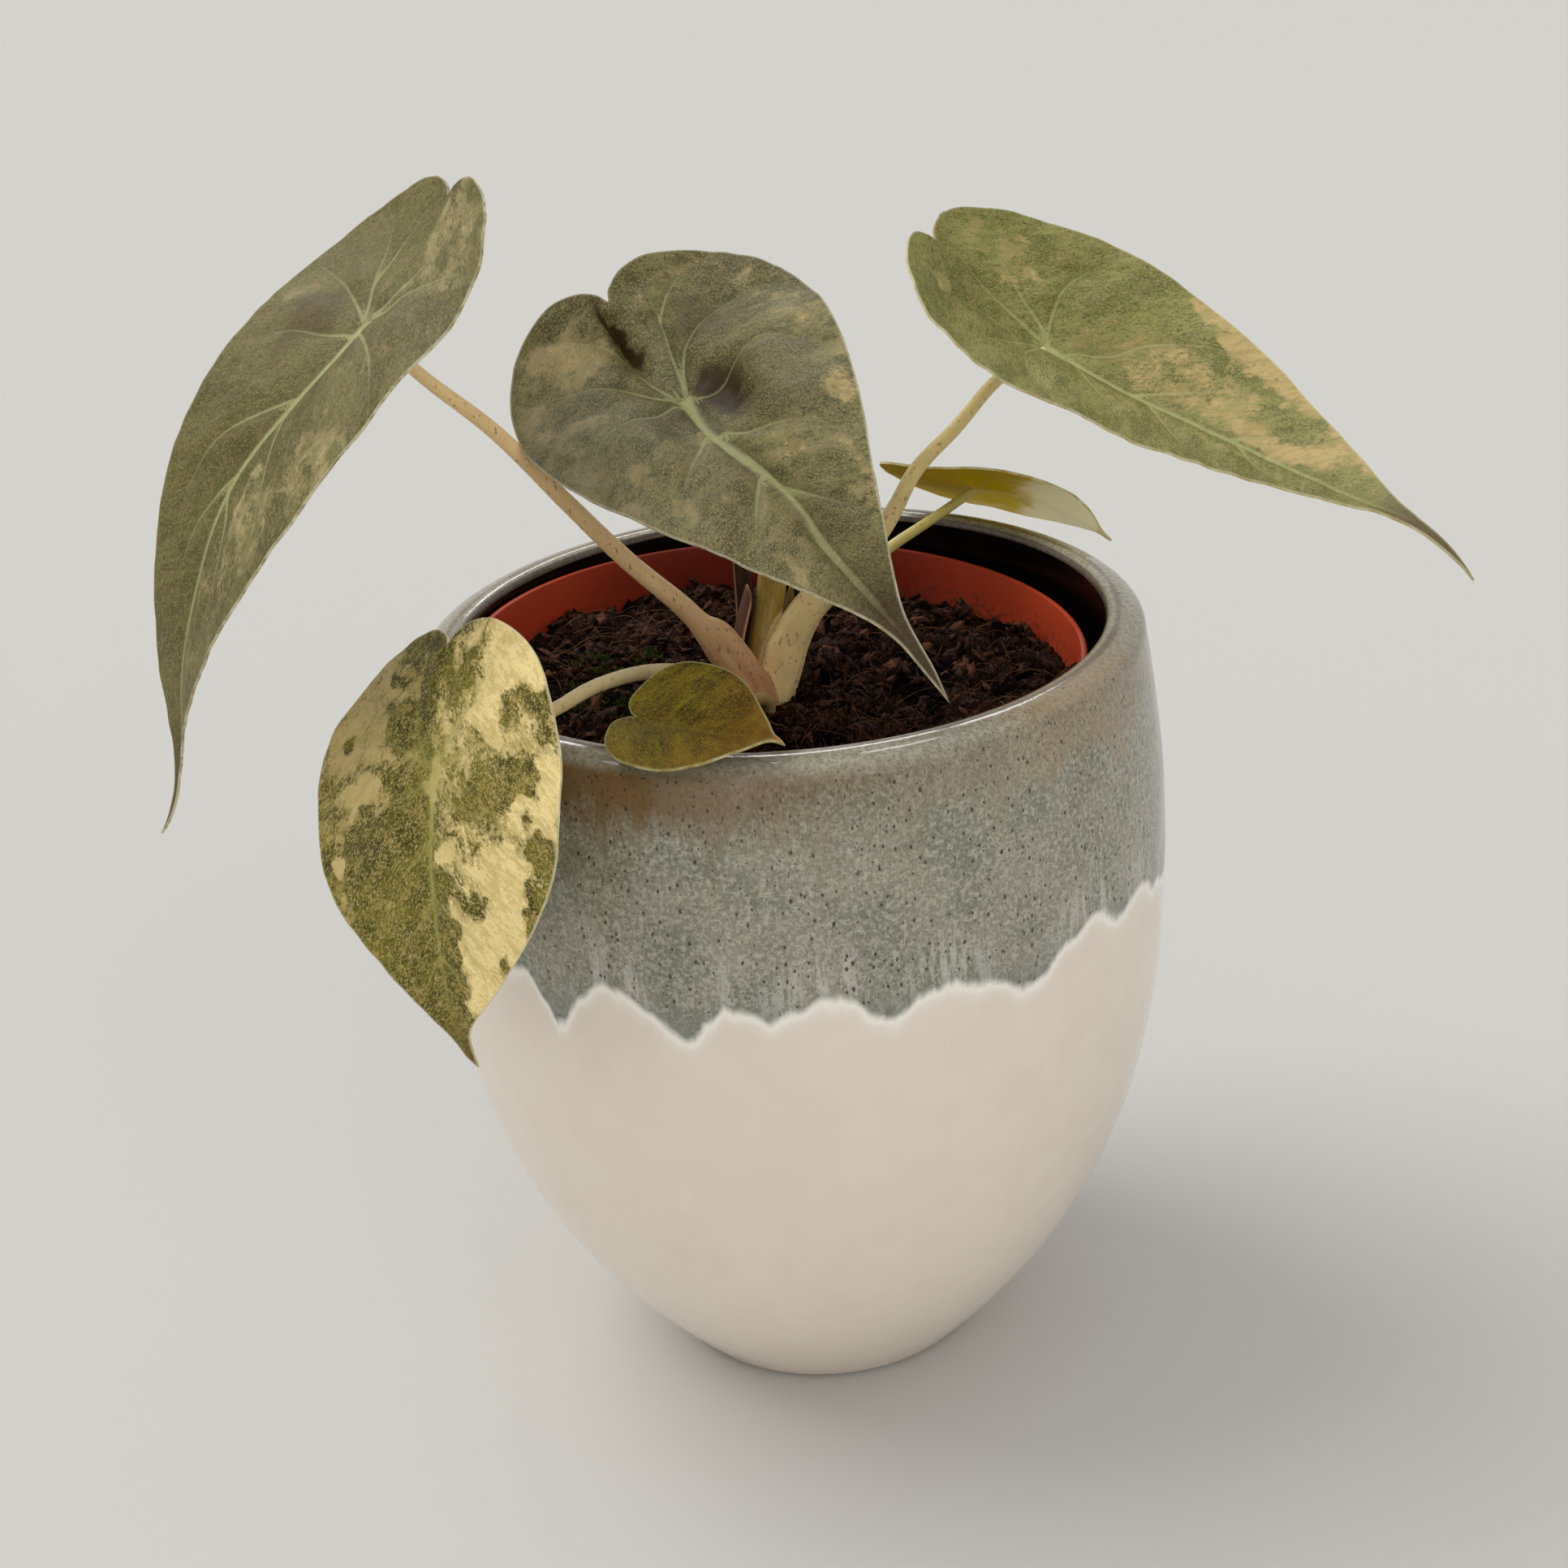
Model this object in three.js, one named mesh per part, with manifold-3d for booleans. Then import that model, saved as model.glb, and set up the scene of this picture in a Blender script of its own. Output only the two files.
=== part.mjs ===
// A young alocasia in a grow pot, standing inside a glazed ceramic pot.
// Millimetres, +Z up. The origin is the centre of the ceramic pot's flat foot.
// Azimuth 0 points along +X and grows towards +Y, which is the back of the plant.

import * as THREE from 'three';
import { mergeVertices } from 'three/addons/utils/BufferGeometryUtils.js';
import Module from 'manifold-3d';

// Ceramic pot
const POT_HEIGHT = 132;
const POT_RADIUS = 62;
const POT_WIDEST_AT = 102;
const POT_TOP_RADIUS = 59;
const FOOT_RADIUS = 27;
const FOOT_ROUNDING = 1.5;
const FOOT_RISE = 0.8;
const BELLY_FULLNESS = 2.94;
const BELLY_SHARPNESS = 0.95;
const SHOULDER = 3.5;
const LIP_RADIUS = 55;
const LIP_INNER_RADIUS = 53;
const LIP_DROP = 0.6;
const POT_WALL = 5.5;
const POT_FLOOR = 7;
const FLOOR_ROUNDING = 6;
const POT_SIDES = 60;
const OUTSIDE_RINGS = 13;
const OUTSIDE_CROWDING = 1.6;
const LIP_TURNS = [30, 60, 90];
const INSIDE_RINGS = 9;
const INSIDE_CROWDING = 1.5;
const INSIDE_TOP = POT_HEIGHT - 6;

// Grow pot, in its own frame: the rim lies at height 0 and the pot hangs below
const GROW_RIM_CENTRE = [-1.1, 0.7, 127];
const GROW_TILT_X = 0.5;
const GROW_TILT_Y = 3;
const GROW_RIM_RADIUS = 51.3;
const GROW_BAND = 9;
const GROW_BAND_STEP = 1;
const GROW_BAND_TAPER = 0.4;
const GROW_BASE_RADIUS = 36;
const GROW_HEIGHT = 94;
const GROW_WALL = 1.2;
const GROW_SIDES = 48;
const DRAIN_HOLES = 5;
const DRAIN_RADIUS = 3.5;
const DRAIN_AT_RADIUS = 24;
const DRAIN_SIDES = 12;

// Soil, in the grow pot's frame
const GAP = 0.3;
const SOIL_EDGE_DEPTH = 7.5;
const SOIL_HEAP = -0.6;
const SOIL_LUMP = 0.6;
const SOIL_RINGS = 7;

// Crown: the foot of the stalks, a round plug in a plain hole in the soil
const CROWN_CENTRE = [-4.2, -2.5];
const CROWN_RADIUS = 6.3;
const CROWN_BOTTOM = 106;
const CROWN_TOP = 119.5;
const CROWN_SIDES = 20;

// Dark young sheath: a slim pointed spike behind the crown
const SHEATH_FOOT = [-5.6, 9];
const SHEATH_BOTTOM = 108;
const SHEATH_PATH = [
  [...SHEATH_FOOT, SHEATH_BOTTOM], [...SHEATH_FOOT, 120], [-5.6, 9.5, 134], [-6.6, 9, 148],
];
const SHEATH_RADIUS = 2;
const SHEATH_TIP_RADIUS = 0.5;
const SHEATH_HOLE_SIDES = 12;

// Leaf stalks: hand-chosen points from the crown outwards, and radii evenly spaced along the length
const STALK_SIDES = 10;
const STALK_STEP = 6;
const STALKS = {
  leaf_left: {
    path: [
      [-4.2, -3.5, 113], [-5, -4, 119.5], [-8.5, -4.5, 127], [-14.5, -4, 135.5],
      [-23.8, -3.5, 145.2], [-32.2, -3, 155.2], [-42, -5.5, 168.4], [-51.2, -12, 179.8],
    ],
    radii: [3.6, 3.9, 3.3, 2, 1.8, 1.7, 1.5, 1.2, 1],
  },
  leaf_centre: {
    path: [
      [-4.5, 0.5, 113], [-4.5, 1, 119.5], [-3.2, 3, 127],
      [-1.5, 4, 135], [-0.5, 3.5, 146], [-3.5, 1.5, 157.5],
    ],
    radii: [2.4, 2.2, 2, 1.7, 1.4, 1.1],
  },
  leaf_right: {
    path: [
      [-1.8, -2, 113], [-1.2, -1.5, 119.5], [0.8, 0, 126.3], [5, 0, 133.5],
      [11.7, 0, 139], [18.6, -1, 147.7], [23.5, -2, 156.1], [30, -3, 162.8], [37, -4, 170.5],
    ],
    radii: [2.4, 3.6, 2.8, 1.9, 1.4, 1.2, 1.1, 1],
  },
  leaf_cream: {
    path: [
      [-5.5, -5, 113], [-6, -6, 119.5], [-9, -11.5, 125], [-15, -19.5, 131.3],
      [-21, -27, 135], [-28.5, -38, 137.7], [-33.5, -45, 137.8], [-41, -50.5, 136.5],
    ],
    radii: [1.8, 1.5, 1.3, 1.2, 1.1, 1],
  },
  leaf_front: {
    path: [[-3, -6, 113], [-3.2, -6.8, 119.5], [-5, -15, 124], [-9, -26, 127.5], [-14.5, -39, 130]],
    radii: [1.5, 1.2, 1, 0.9, 0.8],
  },
  leaf_back: {
    path: [
      [-2, 0, 113], [-1.8, 0.8, 119.5], [2.5, 7, 124.5],
      [9, 16, 129], [20.2, 28, 132.8], [27, 32.2, 135.3],
    ],
    radii: [1.6, 1.4, 1.2, 1.1, 1, 0.9],
  },
};

// Leaf blades. at is where the stalk joins; the other angles are in degrees:
// azimuth and rise of the tip's direction, roll about it, droop of the midrib towards the tip,
// tipBend of its last part, heel of the back lobes, side and hook sideways,
// twist along the blade, fold of the two halves at the midrib and curl of their edges.
const BLADE_THICKNESS = 0.8;
const BLADES = {
  leaf_left: {
    at: [-58.8, -15.4, 190.2], azimuth: 220, rise: -28, roll: 2,
    front: 93, back: 26.7, halfWidth: 24.1, notch: 0.89, taper: 0.98,
    droop: 76, tipBend: -46, heel: -27, side: -37, hook: 1, twist: -10, fold: 5, curl: -2,
    colour: 0x55604a,
  },
  leaf_centre: {
    at: [-13, -2.3, 172.2], azimuth: -70, rise: -6, roll: 22,
    front: 79.4, back: 30.6, halfWidth: 26.2, notch: 0.87, taper: 1.22,
    droop: 36, tipBend: 25, heel: -37, side: 6, hook: -7, twist: 3, fold: 13, curl: -11,
    colour: 0x5c6152,
  },
  leaf_right: {
    at: [45, -2.3, 175.5], azimuth: -37, rise: -22, roll: 12,
    front: 82.7, back: 27.5, halfWidth: 21.7, notch: 0.89, taper: 1.26,
    droop: -26, tipBend: 63, heel: -35, side: -24, hook: 24, twist: 8, fold: 8, curl: 18,
    colour: 0x7c8a5c,
  },
  leaf_cream: {
    at: [-52.5, -54.4, 133.2], azimuth: 259, rise: -58, roll: 28,
    front: 45.2, back: 22.9, halfWidth: 24.7, notch: 0.85, taper: 0.87,
    droop: 35, tipBend: 5, heel: 21, side: -7, hook: 27, twist: -9, fold: -2, curl: -3,
    colour: 0xa79f70,
  },
  leaf_front: {
    at: [-17.6, -49, 135.3], azimuth: -32, rise: -3, roll: 22,
    front: 20.6, back: 7.9, halfWidth: 11.1, notch: 0.7, taper: 0.8,
    droop: -16, tipBend: 36, heel: 0, side: 2, hook: -21, twist: 2, fold: 15, curl: -4,
    colour: 0x7a7a3c,
  },
  leaf_back: {
    at: [36.1, 39.6, 138.8], azimuth: -13, rise: -4, roll: -33,
    front: 26.5, back: 17, halfWidth: 12.8, notch: 0.92, taper: 0.71,
    droop: 32, tipBend: -3, heel: -15, side: 21, hook: 5, twist: -6, fold: 6, curl: -13,
    colour: 0x8c8f4a,
  },
};
const EDGE_STEPS = 20;
const BLADE_RINGS = 5;
const MIDRIB_STEPS = 14;
const TIP_BEND_FROM = 0.72;

// Half of a blade's outline from the tip to the lobe's inner edge, in shares of its lengths and half width
const HALF_OUTLINE = [
  [1, 0], [0.95, 0.028], [0.88, 0.075], [0.78, 0.2], [0.62, 0.46], [0.42, 0.76], [0.2, 0.95],
  [-0.05, 1], [-0.42, 0.93], [-0.75, 0.72], [-0.95, 0.42], [-0.99, 0.2],
];

const rad = THREE.MathUtils.degToRad;
const wasm = await Module();
wasm.setup();
const part = new THREE.Group();

function addPiece(name, geometry, colour, roughness) {
  const material = new THREE.MeshStandardMaterial({ color: colour, roughness, flatShading: true });
  const mesh = new THREE.Mesh(geometry, material);
  mesh.name = name;
  part.add(mesh);
  return mesh;
}

// A closed body from the profile's points [radius, height], turned about Z
function turned(profile, sides) {
  const points = profile.map(([r, z]) => new THREE.Vector2(r, z));
  const geometry = new THREE.LatheGeometry(points, sides);
  geometry.rotateX(Math.PI / 2);
  return geometry;
}

function toSolid(geometry) {
  const bare = geometry.clone();
  bare.deleteAttribute('normal');
  bare.deleteAttribute('uv');
  const merged = mergeVertices(bare, 1e-4);
  const mesh = new wasm.Mesh({
    numProp: 3,
    vertProperties: new Float32Array(merged.attributes.position.array),
    triVerts: new Uint32Array(merged.index.array),
  });
  return new wasm.Manifold(mesh);
}

function toGeometry(solid) {
  const mesh = solid.getMesh();
  const geometry = new THREE.BufferGeometry();
  geometry.setAttribute('position', new THREE.BufferAttribute(mesh.vertProperties, 3));
  geometry.setIndex(new THREE.BufferAttribute(mesh.triVerts, 1));
  return geometry;
}

function closedGeometry(vertices, triangles) {
  const geometry = new THREE.BufferGeometry();
  const numbers = vertices.flatMap((v) => v.toArray());
  geometry.setAttribute('position', new THREE.Float32BufferAttribute(numbers, 3));
  geometry.setIndex(triangles.flat());
  return geometry;
}

// Ceramic pot: the outside widens fast from the foot, then leans in a little above the widest line
function potOuterRadius(z) {
  if (z > POT_WIDEST_AT) {
    const t = (z - POT_WIDEST_AT) / (POT_HEIGHT - POT_WIDEST_AT);
    return POT_RADIUS - (POT_RADIUS - POT_TOP_RADIUS) * t ** 1.5;
  }
  const spread = 1 - (1 - z / POT_WIDEST_AT) ** BELLY_FULLNESS;
  return FOOT_RADIUS + (POT_RADIUS - FOOT_RADIUS) * spread ** (1 / BELLY_SHARPNESS);
}

function ceramicPot() {
  const top = POT_HEIGHT - SHOULDER;
  const profile = [[0, 0], [FOOT_RADIUS - FOOT_ROUNDING, 0], [FOOT_RADIUS, FOOT_RISE]];
  for (let i = 1; i <= OUTSIDE_RINGS; i += 1) {
    const z = top * (i / OUTSIDE_RINGS) ** OUTSIDE_CROWDING;
    profile.push([potOuterRadius(z), z]);
  }
  // The lip rounds over from the shoulder to the crest, then drops to the inner edge
  const overhang = potOuterRadius(top) - LIP_RADIUS;
  for (const a of LIP_TURNS) {
    profile.push([LIP_RADIUS + overhang * Math.cos(rad(a)), top + SHOULDER * Math.sin(rad(a))]);
  }
  profile.push([LIP_INNER_RADIUS, POT_HEIGHT - LIP_DROP]);
  for (let i = 0; i < INSIDE_RINGS; i += 1) {
    const z = POT_FLOOR + (INSIDE_TOP - POT_FLOOR) * (1 - i / INSIDE_RINGS) ** INSIDE_CROWDING;
    profile.push([Math.min(LIP_INNER_RADIUS, potOuterRadius(z) - POT_WALL), z]);
  }
  profile.push([potOuterRadius(POT_FLOOR) - POT_WALL - FLOOR_ROUNDING, POT_FLOOR], [0, POT_FLOOR]);
  return turned(profile, POT_SIDES);
}

// Grow pot: a cone with a stepped rim band; its place in the ceramic pot is this matrix
const growFrame = new THREE.Matrix4().makeRotationFromEuler(
  new THREE.Euler(rad(GROW_TILT_X), rad(GROW_TILT_Y), 0),
).setPosition(...GROW_RIM_CENTRE);

function growRadius(depth) {
  const t = (depth - GROW_BAND) / (GROW_HEIGHT - GROW_BAND);
  const underBand = GROW_RIM_RADIUS - GROW_BAND_STEP;
  return underBand + (GROW_BASE_RADIUS - underBand) * t;
}

function growPot() {
  const inside = (depth) => growRadius(depth) - GROW_WALL;
  const profile = [
    [0, -GROW_HEIGHT], [GROW_BASE_RADIUS, -GROW_HEIGHT], [growRadius(GROW_BAND), -GROW_BAND],
    [GROW_RIM_RADIUS - GROW_BAND_TAPER, -GROW_BAND], [GROW_RIM_RADIUS, 0],
    [GROW_RIM_RADIUS - GROW_WALL, 0], [inside(GROW_BAND), -GROW_BAND - GROW_BAND_STEP],
    [inside(GROW_HEIGHT - GROW_WALL), -GROW_HEIGHT + GROW_WALL], [0, -GROW_HEIGHT + GROW_WALL],
  ];
  let solid = toSolid(turned(profile, GROW_SIDES));
  for (let i = 0; i < DRAIN_HOLES; i += 1) {
    const angle = (2 * Math.PI * i) / DRAIN_HOLES;
    const drain = new THREE.CylinderGeometry(DRAIN_RADIUS, DRAIN_RADIUS, 4 * GROW_WALL, DRAIN_SIDES);
    drain.rotateX(Math.PI / 2);
    drain.translate(DRAIN_AT_RADIUS * Math.cos(angle), DRAIN_AT_RADIUS * Math.sin(angle), -GROW_HEIGHT);
    solid = solid.subtract(toSolid(drain));
  }
  return toGeometry(solid).applyMatrix4(growFrame);
}

// Soil: fills the grow pot, a little lower at the crown than at the wall. Two crossing waves
// make its lumps, which die away at the wall
function soilHeight(x, y) {
  const r = Math.hypot(x, y) / (GROW_RIM_RADIUS - GROW_BAND_STEP);
  const broad = Math.sin(x * 0.31 + 1.3) * Math.cos(y * 0.27 - 0.4);
  const lumps = broad + 0.6 * Math.sin(x * 0.12 - y * 0.41);
  return -SOIL_EDGE_DEPTH + SOIL_HEAP * (1 - r * r) + SOIL_LUMP * lumps * Math.min(1, 3 * (1 - r));
}

function soilBody() {
  const inside = (depth) => growRadius(depth) - GROW_WALL - GAP;
  const bottom = GROW_HEIGHT - GROW_WALL - GAP;
  const rimRadius = inside(SOIL_EDGE_DEPTH);
  const profile = [[0, -bottom], [inside(bottom), -bottom]];
  for (let i = SOIL_RINGS; i >= 0; i -= 1) {
    profile.push([(rimRadius * i) / SOIL_RINGS, -SOIL_EDGE_DEPTH]);
  }
  const geometry = turned(profile, GROW_SIDES);
  const position = geometry.attributes.position;
  for (let i = 0; i < position.count; i += 1) {
    if (position.getZ(i) > -SOIL_EDGE_DEPTH - 1) {
      position.setZ(i, soilHeight(position.getX(i), position.getY(i)));
    }
  }
  geometry.applyMatrix4(growFrame);
  const crownHole = upright(CROWN_CENTRE, CROWN_RADIUS + GAP, CROWN_BOTTOM - GAP, POT_HEIGHT, CROWN_SIDES);
  const sheathHole = upright(
    SHEATH_FOOT, SHEATH_RADIUS + GAP, SHEATH_BOTTOM - GAP, POT_HEIGHT, SHEATH_HOLE_SIDES,
  );
  return toGeometry(toSolid(geometry).subtract(toSolid(crownHole)).subtract(toSolid(sheathHole)));
}

function upright([x, y], radius, bottom, top, sides) {
  const cylinder = new THREE.CylinderGeometry(radius, radius, top - bottom, sides);
  cylinder.rotateX(Math.PI / 2);
  cylinder.translate(x, y, (top + bottom) / 2);
  return cylinder;
}

// A closed tapering stem along a curve; radiusAt takes the share of its length
function stem(points, radiusAt, sides, stepLength) {
  const knots = points.map((p) => new THREE.Vector3(...p));
  const curve = new THREE.CatmullRomCurve3(knots, false, 'centripetal');
  const steps = Math.ceil(curve.getLength() / stepLength);
  const frames = curve.computeFrenetFrames(steps);
  const vertices = [];
  const triangles = [];
  for (let i = 0; i <= steps; i += 1) {
    const centre = curve.getPointAt(i / steps);
    const radius = radiusAt(i / steps);
    for (let k = 0; k < sides; k += 1) {
      const angle = (2 * Math.PI * k) / sides;
      vertices.push(centre.clone()
        .addScaledVector(frames.normals[i], radius * Math.cos(angle))
        .addScaledVector(frames.binormals[i], radius * Math.sin(angle)));
    }
  }
  const foot = vertices.length;
  vertices.push(curve.getPointAt(0), curve.getPointAt(1));
  const last = steps * sides;
  for (let k = 0; k < sides; k += 1) {
    const next = (k + 1) % sides;
    for (let i = 0; i < steps; i += 1) {
      const a = i * sides;
      triangles.push([a + k, a + next, a + sides + next], [a + k, a + sides + next, a + sides + k]);
    }
    triangles.push([foot, next, k], [foot + 1, last + k, last + next]);
  }
  return closedGeometry(vertices, triangles);
}

// Smooth half outline, which runs into the notch between the lobes
function halfOutline(notch) {
  const shares = [...HALF_OUTLINE, [-(notch + 1) / 2, 0.05], [-notch, 0]];
  const knots = shares.map(([u, v]) => new THREE.Vector3(u, v, 0));
  const curve = new THREE.CatmullRomCurve3(knots, false, 'catmullrom', 0.5);
  return Array.from({ length: EDGE_STEPS + 1 }, (_, i) => curve.getPoint(i / EDGE_STEPS));
}

// Directions of the blade at the stalk: forward to the tip, left and up
function bladeAxes(blade) {
  const a = rad(blade.azimuth);
  const e = rad(blade.rise);
  const forward = new THREE.Vector3(Math.cos(e) * Math.cos(a), Math.cos(e) * Math.sin(a), Math.sin(e));
  const left = new THREE.Vector3(-Math.sin(a), Math.cos(a), 0).applyAxisAngle(forward, rad(blade.roll));
  const up = forward.clone().cross(left);
  return [forward, left, up];
}

// Bends the flat blade's point (x forward, y left) to its place
function bladePoint(blade, x, y) {
  const shareAt = (d) => (d > 0 ? d / blade.front : d / blade.back);
  const heading = (u) => {
    const tip = Math.max(0, (u - TIP_BEND_FROM) / (1 - TIP_BEND_FROM)) ** 2;
    const pitch = u > 0 ? rad(blade.droop) * u + rad(blade.tipBend) * tip : rad(blade.heel) * u;
    const yaw = u > 0 ? rad(blade.side) * u + rad(blade.hook) * tip : 0;
    const c = Math.cos(pitch);
    return { yaw, along: new THREE.Vector3(c * Math.cos(yaw), c * Math.sin(yaw), -Math.sin(pitch)) };
  };
  const midrib = new THREE.Vector3();
  for (let i = 0; i < MIDRIB_STEPS; i += 1) {
    midrib.addScaledVector(heading(shareAt((x * (i + 0.5)) / MIDRIB_STEPS)).along, x / MIDRIB_STEPS);
  }
  const u = shareAt(x);
  const { yaw, along } = heading(u);
  const twist = rad(blade.twist) * u;
  const across = new THREE.Vector3(-Math.sin(yaw), Math.cos(yaw), 0).applyAxisAngle(along, twist);
  const above = along.clone().cross(across);
  const fold = rad(blade.fold);
  const curl = rad(blade.curl);
  const turn = fold + (curl * Math.abs(y)) / blade.halfWidth;
  const sideways = (blade.halfWidth / curl) * (Math.sin(turn) - Math.sin(fold));
  const lift = (-blade.halfWidth / curl) * (Math.cos(turn) - Math.cos(fold));
  const local = midrib.addScaledVector(across, Math.sign(y) * sideways).addScaledVector(above, lift);
  const [forward, left, up] = bladeAxes(blade);
  return new THREE.Vector3(...blade.at)
    .addScaledVector(forward, local.x).addScaledVector(left, local.y).addScaledVector(up, local.z);
}

// Blade: rings about the stalk's joint out to the edge, split alike on both faces
function leafBlade(blade) {
  const half = halfOutline(blade.notch);
  const leftSide = half.map((p) => {
    const x = p.x > 0 ? blade.front * p.x ** blade.taper : blade.back * p.x;
    return [x, blade.halfWidth * p.y];
  });
  const rightSide = leftSide.slice(1, -1).reverse().map(([x, y]) => [x, -y]);
  const edge = [...leftSide, ...rightSide];
  const middle = [bladePoint(blade, 0, 0)];
  const faces = [];
  const count = edge.length;
  for (let ring = 1; ring <= BLADE_RINGS; ring += 1) {
    const share = ring / BLADE_RINGS;
    edge.forEach(([x, y]) => middle.push(bladePoint(blade, x * share, y * share)));
  }
  for (let k = 0; k < count; k += 1) {
    const next = (k + 1) % count;
    faces.push([0, 1 + k, 1 + next]);
    for (let ring = 0; ring < BLADE_RINGS - 1; ring += 1) {
      const a = 1 + ring * count;
      const b = a + count;
      faces.push([a + k, b + k, b + next], [a + k, b + next, a + next]);
    }
  }
  const sheet = closedGeometry(middle, faces);
  sheet.computeVertexNormals();
  const normals = middle.map((_, i) => new THREE.Vector3().fromBufferAttribute(sheet.attributes.normal, i));
  const offset = (amount) => middle.map((v, i) => v.clone().addScaledVector(normals[i], amount));
  const vertices = [...offset(BLADE_THICKNESS / 2), ...offset(-BLADE_THICKNESS / 2)];
  const under = middle.length;
  const rim = 1 + (BLADE_RINGS - 1) * count;
  const triangles = [...faces, ...faces.map(([a, b, c]) => [under + a, under + c, under + b])];
  for (let k = 0; k < count; k += 1) {
    const a = rim + k;
    const b = rim + ((k + 1) % count);
    triangles.push([a, under + a, under + b], [a, under + b, b]);
  }
  return closedGeometry(vertices, triangles);
}

// Each stalk ends just under its blade, clear of it by the gap at any slant
function stalk(name) {
  const { path, radii } = STALKS[name];
  const blade = BLADES[name];
  const joint = new THREE.Vector3(...blade.at);
  const up = bladeAxes(blade)[2];
  const slant = joint.clone().sub(new THREE.Vector3(...path.at(-1))).normalize().cross(up).length();
  const drop = BLADE_THICKNESS / 2 + GAP + slant * radii.at(-1);
  const points = [...path, joint.addScaledVector(up, -drop).toArray()];
  const radiusAt = (t) => {
    const place = t * (radii.length - 1);
    const before = Math.min(Math.floor(place), radii.length - 2);
    return THREE.MathUtils.lerp(radii[before], radii[before + 1], place - before);
  };
  return stem(points, radiusAt, STALK_SIDES, STALK_STEP);
}

function petioles() {
  let solid = toSolid(upright(CROWN_CENTRE, CROWN_RADIUS, CROWN_BOTTOM, CROWN_TOP, CROWN_SIDES));
  for (const name of Object.keys(STALKS)) {
    solid = solid.add(toSolid(stalk(name)));
  }
  return toGeometry(solid);
}

function youngSheath() {
  const radiusAt = (t) => SHEATH_RADIUS - (SHEATH_RADIUS - SHEATH_TIP_RADIUS) * t ** 3;
  return stem(SHEATH_PATH, radiusAt, STALK_SIDES, STALK_STEP);
}

addPiece('ceramic_pot', ceramicPot(), 0xd9d6d0, 0.15);
addPiece('nursery_pot', growPot(), 0xa8482e, 0.6);
addPiece('soil', soilBody(), 0x2a1d17, 1);
addPiece('petioles', petioles(), 0xbba884, 0.55);
addPiece('young_sheath', youngSheath(), 0x3a2a20, 0.5);
for (const [name, blade] of Object.entries(BLADES)) {
  addPiece(name, leafBlade(blade), blade.colour, 0.45);
}

export default part;
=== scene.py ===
import math
import random
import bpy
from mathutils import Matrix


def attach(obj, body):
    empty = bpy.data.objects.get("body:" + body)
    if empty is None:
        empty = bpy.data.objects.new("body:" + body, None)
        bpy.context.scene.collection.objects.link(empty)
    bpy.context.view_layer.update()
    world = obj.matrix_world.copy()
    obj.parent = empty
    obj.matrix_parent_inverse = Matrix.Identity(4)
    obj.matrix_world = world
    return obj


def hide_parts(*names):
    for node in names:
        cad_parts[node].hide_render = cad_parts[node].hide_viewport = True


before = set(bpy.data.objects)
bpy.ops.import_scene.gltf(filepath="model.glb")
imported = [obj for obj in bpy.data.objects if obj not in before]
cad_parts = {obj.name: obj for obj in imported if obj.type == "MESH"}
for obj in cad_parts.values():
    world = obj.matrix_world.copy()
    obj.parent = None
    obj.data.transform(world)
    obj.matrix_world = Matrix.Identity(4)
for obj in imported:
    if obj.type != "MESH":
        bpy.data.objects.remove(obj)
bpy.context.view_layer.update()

from types import SimpleNamespace

import bpy
import numpy as np
from bpy.props import FloatProperty, FloatVectorProperty, IntProperty, PointerProperty
from bpy.types import Operator, Panel, PropertyGroup
from mathutils import Euler, Matrix, Vector, noise

bl_info = {
    "name": "Potted alocasia",
    "version": (1, 0, 0),
    "blender": (4, 5, 0),
    "location": "View3D > Sidebar > Alocasia",
    "description": "Dresses a young alocasia, its grow pot and its glazed pot",
    "category": "Object",
}

MM = 0.001

# Sizes of the solids that the pieces stand for, in millimetres
POT_HEIGHT = 132.0
POT_RADIUS = 62.0
POT_WIDEST_AT = 102.0
POT_TOP_RADIUS = 59.0
FOOT_RADIUS = 27.0
BELLY_FULLNESS = 2.94
BELLY_SHARPNESS = 0.95
LIP_RADIUS = 55.0
LIP_INNER_RADIUS = 53.0
SHOULDER = 3.5
POT_WALL = 5.5
POT_FLOOR = 7.0
FOOT_RING = 3.2
FOOT_HOLLOW = 1.2

GROW_RIM_CENTRE = (-1.1, 0.7, 127.0)
GROW_TILT = (0.5, 3.0)
GROW_RIM_RADIUS = 51.3
GROW_BAND = 9.0
GROW_BAND_STEP = 1.0
GROW_BASE_RADIUS = 36.0
GROW_HEIGHT = 94.0
GROW_WALL = 1.2
DRAIN_HOLES = 5
DRAIN_RADIUS = 3.5
DRAIN_AT_RADIUS = 24.0

SOIL_EDGE_DEPTH = 7.5
SOIL_RINGS = 134
SOIL_SIDES = 430
CROWN_CENTRE = (-4.2, -2.5)
CROWN_RADIUS = 6.3

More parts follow.
